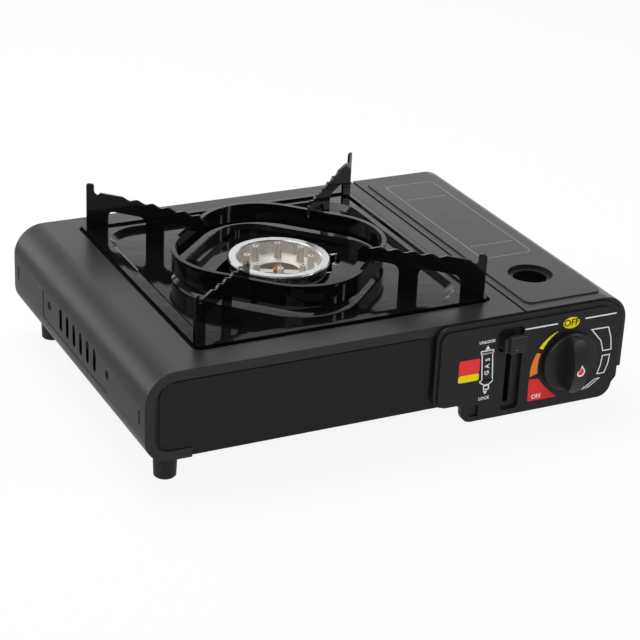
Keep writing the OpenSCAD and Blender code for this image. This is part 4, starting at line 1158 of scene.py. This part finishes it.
@dataclass
class Studio:
    """The pale floor, the soft lights and the camera."""

    floor_half: float = 8.0
    floor_tone: float = 0.92
    floor_glow_share: float = 0.9
    floor_depth: Point = (-0.7, 0.1)
    floor_glow: Point = (0.4, 0.66)
    floor_side: Point = (-0.22, -0.16)
    floor_left_share: float = 0.5
    floor_drop: float = 0.0002
    room_base: float = 0.3
    room_rear: float = 1.25
    room_left: float = 0.2
    room_top: float = 0.12
    rear_span: Point = (-0.2, 0.8)
    left_span: Point = (-0.9, 0.0)
    top_span: Point = (0.34, 0.46)
    eye: Vector = field(default_factory=lambda: Vector((-0.545115, -1.060024, 0.590923)))
    yaw: float = -0.476
    pitch: float = 0.434
    roll: float = 0.049
    focal_px: float = 1941.24
    image_px: int = 640
    sensor_mm: float = 36.0

    def _floor(self) -> None:
        """Lay the floor, which looks white and still takes a shadow."""
        half = self.floor_half
        mesh = bpy.data.meshes.new("floor")
        mesh.from_pydata(
            [(-half, -half, 0), (half, -half, 0), (half, half, 0), (-half, half, 0)], [], [(0, 1, 2, 3)]
        )
        floor = placed("floor", mesh)
        floor.location.z = -self.floor_drop
        material = bpy.data.materials.new("floor_paper")
        material.use_nodes = True
        kit = NodeKit(material.node_tree)
        kit.tree.nodes.remove(kit.tree.nodes["Principled BSDF"])
        paper = kit.node("ShaderNodeBsdfDiffuse", {"Color": (self.floor_tone,) * 3 + (1.0,)})
        rays = kit.node("ShaderNodeLightPath").outputs
        place = kit.node("ShaderNodeTexCoord").outputs["Object"]
        split = kit.node("ShaderNodeSeparateXYZ", {0: place}).outputs
        depth = kit.fade(split["Y"], self.floor_depth, self.floor_glow)
        side = kit.fade(split["X"], self.floor_side, (self.floor_left_share, 1.0))
        level = kit.maths("MULTIPLY", depth, side)
        strength = kit.maths("MAXIMUM", rays["Is Camera Ray"], level)
        glow = kit.node("ShaderNodeEmission", {"Strength": strength})
        seen = kit.maths("MAXIMUM", rays["Is Camera Ray"], rays["Is Glossy Ray"])
        seen = kit.maths("MAXIMUM", seen, rays["Is Transmission Ray"])
        share = kit.maths("MULTIPLY", seen, self.floor_glow_share)
        mix = kit.node("ShaderNodeMixShader", {0: share, 1: paper.outputs[0], 2: glow.outputs[0]})
        kit.feed(kit.tree.nodes["Material Output"], {"Surface": mix.outputs[0]})
        mesh.materials.append(material)
        floor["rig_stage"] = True

    def _sky(self) -> None:
        """Fill the room with soft light: bright behind the stove, dim in front of it."""
        world = bpy.data.worlds.new("room")
        bpy.context.scene.world = world
        world.use_nodes = True
        kit = NodeKit(world.node_tree)
        place = kit.node("ShaderNodeTexCoord").outputs["Generated"]
        split = kit.node("ShaderNodeSeparateXYZ", {0: place}).outputs
        rear, left, top = (
            kit.fade(split[axis], span, levels, "SMOOTHSTEP")
            for axis, span, levels in (
                ("Y", self.rear_span, (0.0, self.room_rear)),
                ("X", self.left_span, (self.room_left, 0.0)),
                ("Z", self.top_span, (1.0, self.room_top)),
            )
        )
        level = kit.maths("ADD", rear, self.room_base)
        level = kit.maths("ADD", level, left)
        level = kit.maths("MULTIPLY", level, top)
        kit.feed(kit.tree.nodes["Background"], {"Color": level})

    def _camera(self) -> None:
        """Set the camera."""
        ahead = Vector((
            -math.sin(self.yaw) * math.cos(self.pitch),
            math.cos(self.yaw) * math.cos(self.pitch),
            -math.sin(self.pitch),
        ))
        right = Vector((math.cos(self.yaw), math.sin(self.yaw), 0.0))
        up = right.cross(ahead)
        turned = math.cos(self.roll) * right + math.sin(self.roll) * up
        raised = -math.sin(self.roll) * right + math.cos(self.roll) * up
        data = bpy.data.cameras.new("camera")
        data.sensor_width = self.sensor_mm
        data.lens = self.focal_px / self.image_px * self.sensor_mm
        data.clip_start = 0.01
        camera = placed("camera", data)
        axes = Matrix((turned, raised, -ahead)).transposed()
        camera.matrix_world = Matrix.Translation(self.eye) @ axes.to_4x4()
        bpy.context.scene.camera = camera

    def build(self) -> None:
        """Set up the floor, the lights and the camera."""
        bpy.context.scene.view_settings.view_transform = "Standard"
        self._floor()
        self._sky()
        for lamp in LAMPS:
            lamp.hang()
        self._camera()
        LOG.info("studio: floor, room light, %d lamps and the camera", len(LAMPS))


def corners() -> list[list[float]]:
    """Return the lowest and highest corner of the shown object."""
    return [[float(value) for value in corner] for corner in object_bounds()]


def main() -> None:
    """Dress the stove and set up the studio."""
    logging.basicConfig(level=logging.INFO, format="%(message)s")
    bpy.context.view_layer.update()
    bench = Bench(PaintShop())
    for part in (
        Casework(bench), ControlFace(bench), Controls(bench), LidPrint(bench),
        PlainParts(bench, "burner", BURNER), PlainParts(bench, "trivet", TRIVET),
        PlainParts(bench, "works", WORKS), PlainParts(bench, "feet", FEET), SideScrews(bench),
    ):
        part.build()
    Studio().build()


if __name__ == "__main__":
    main()
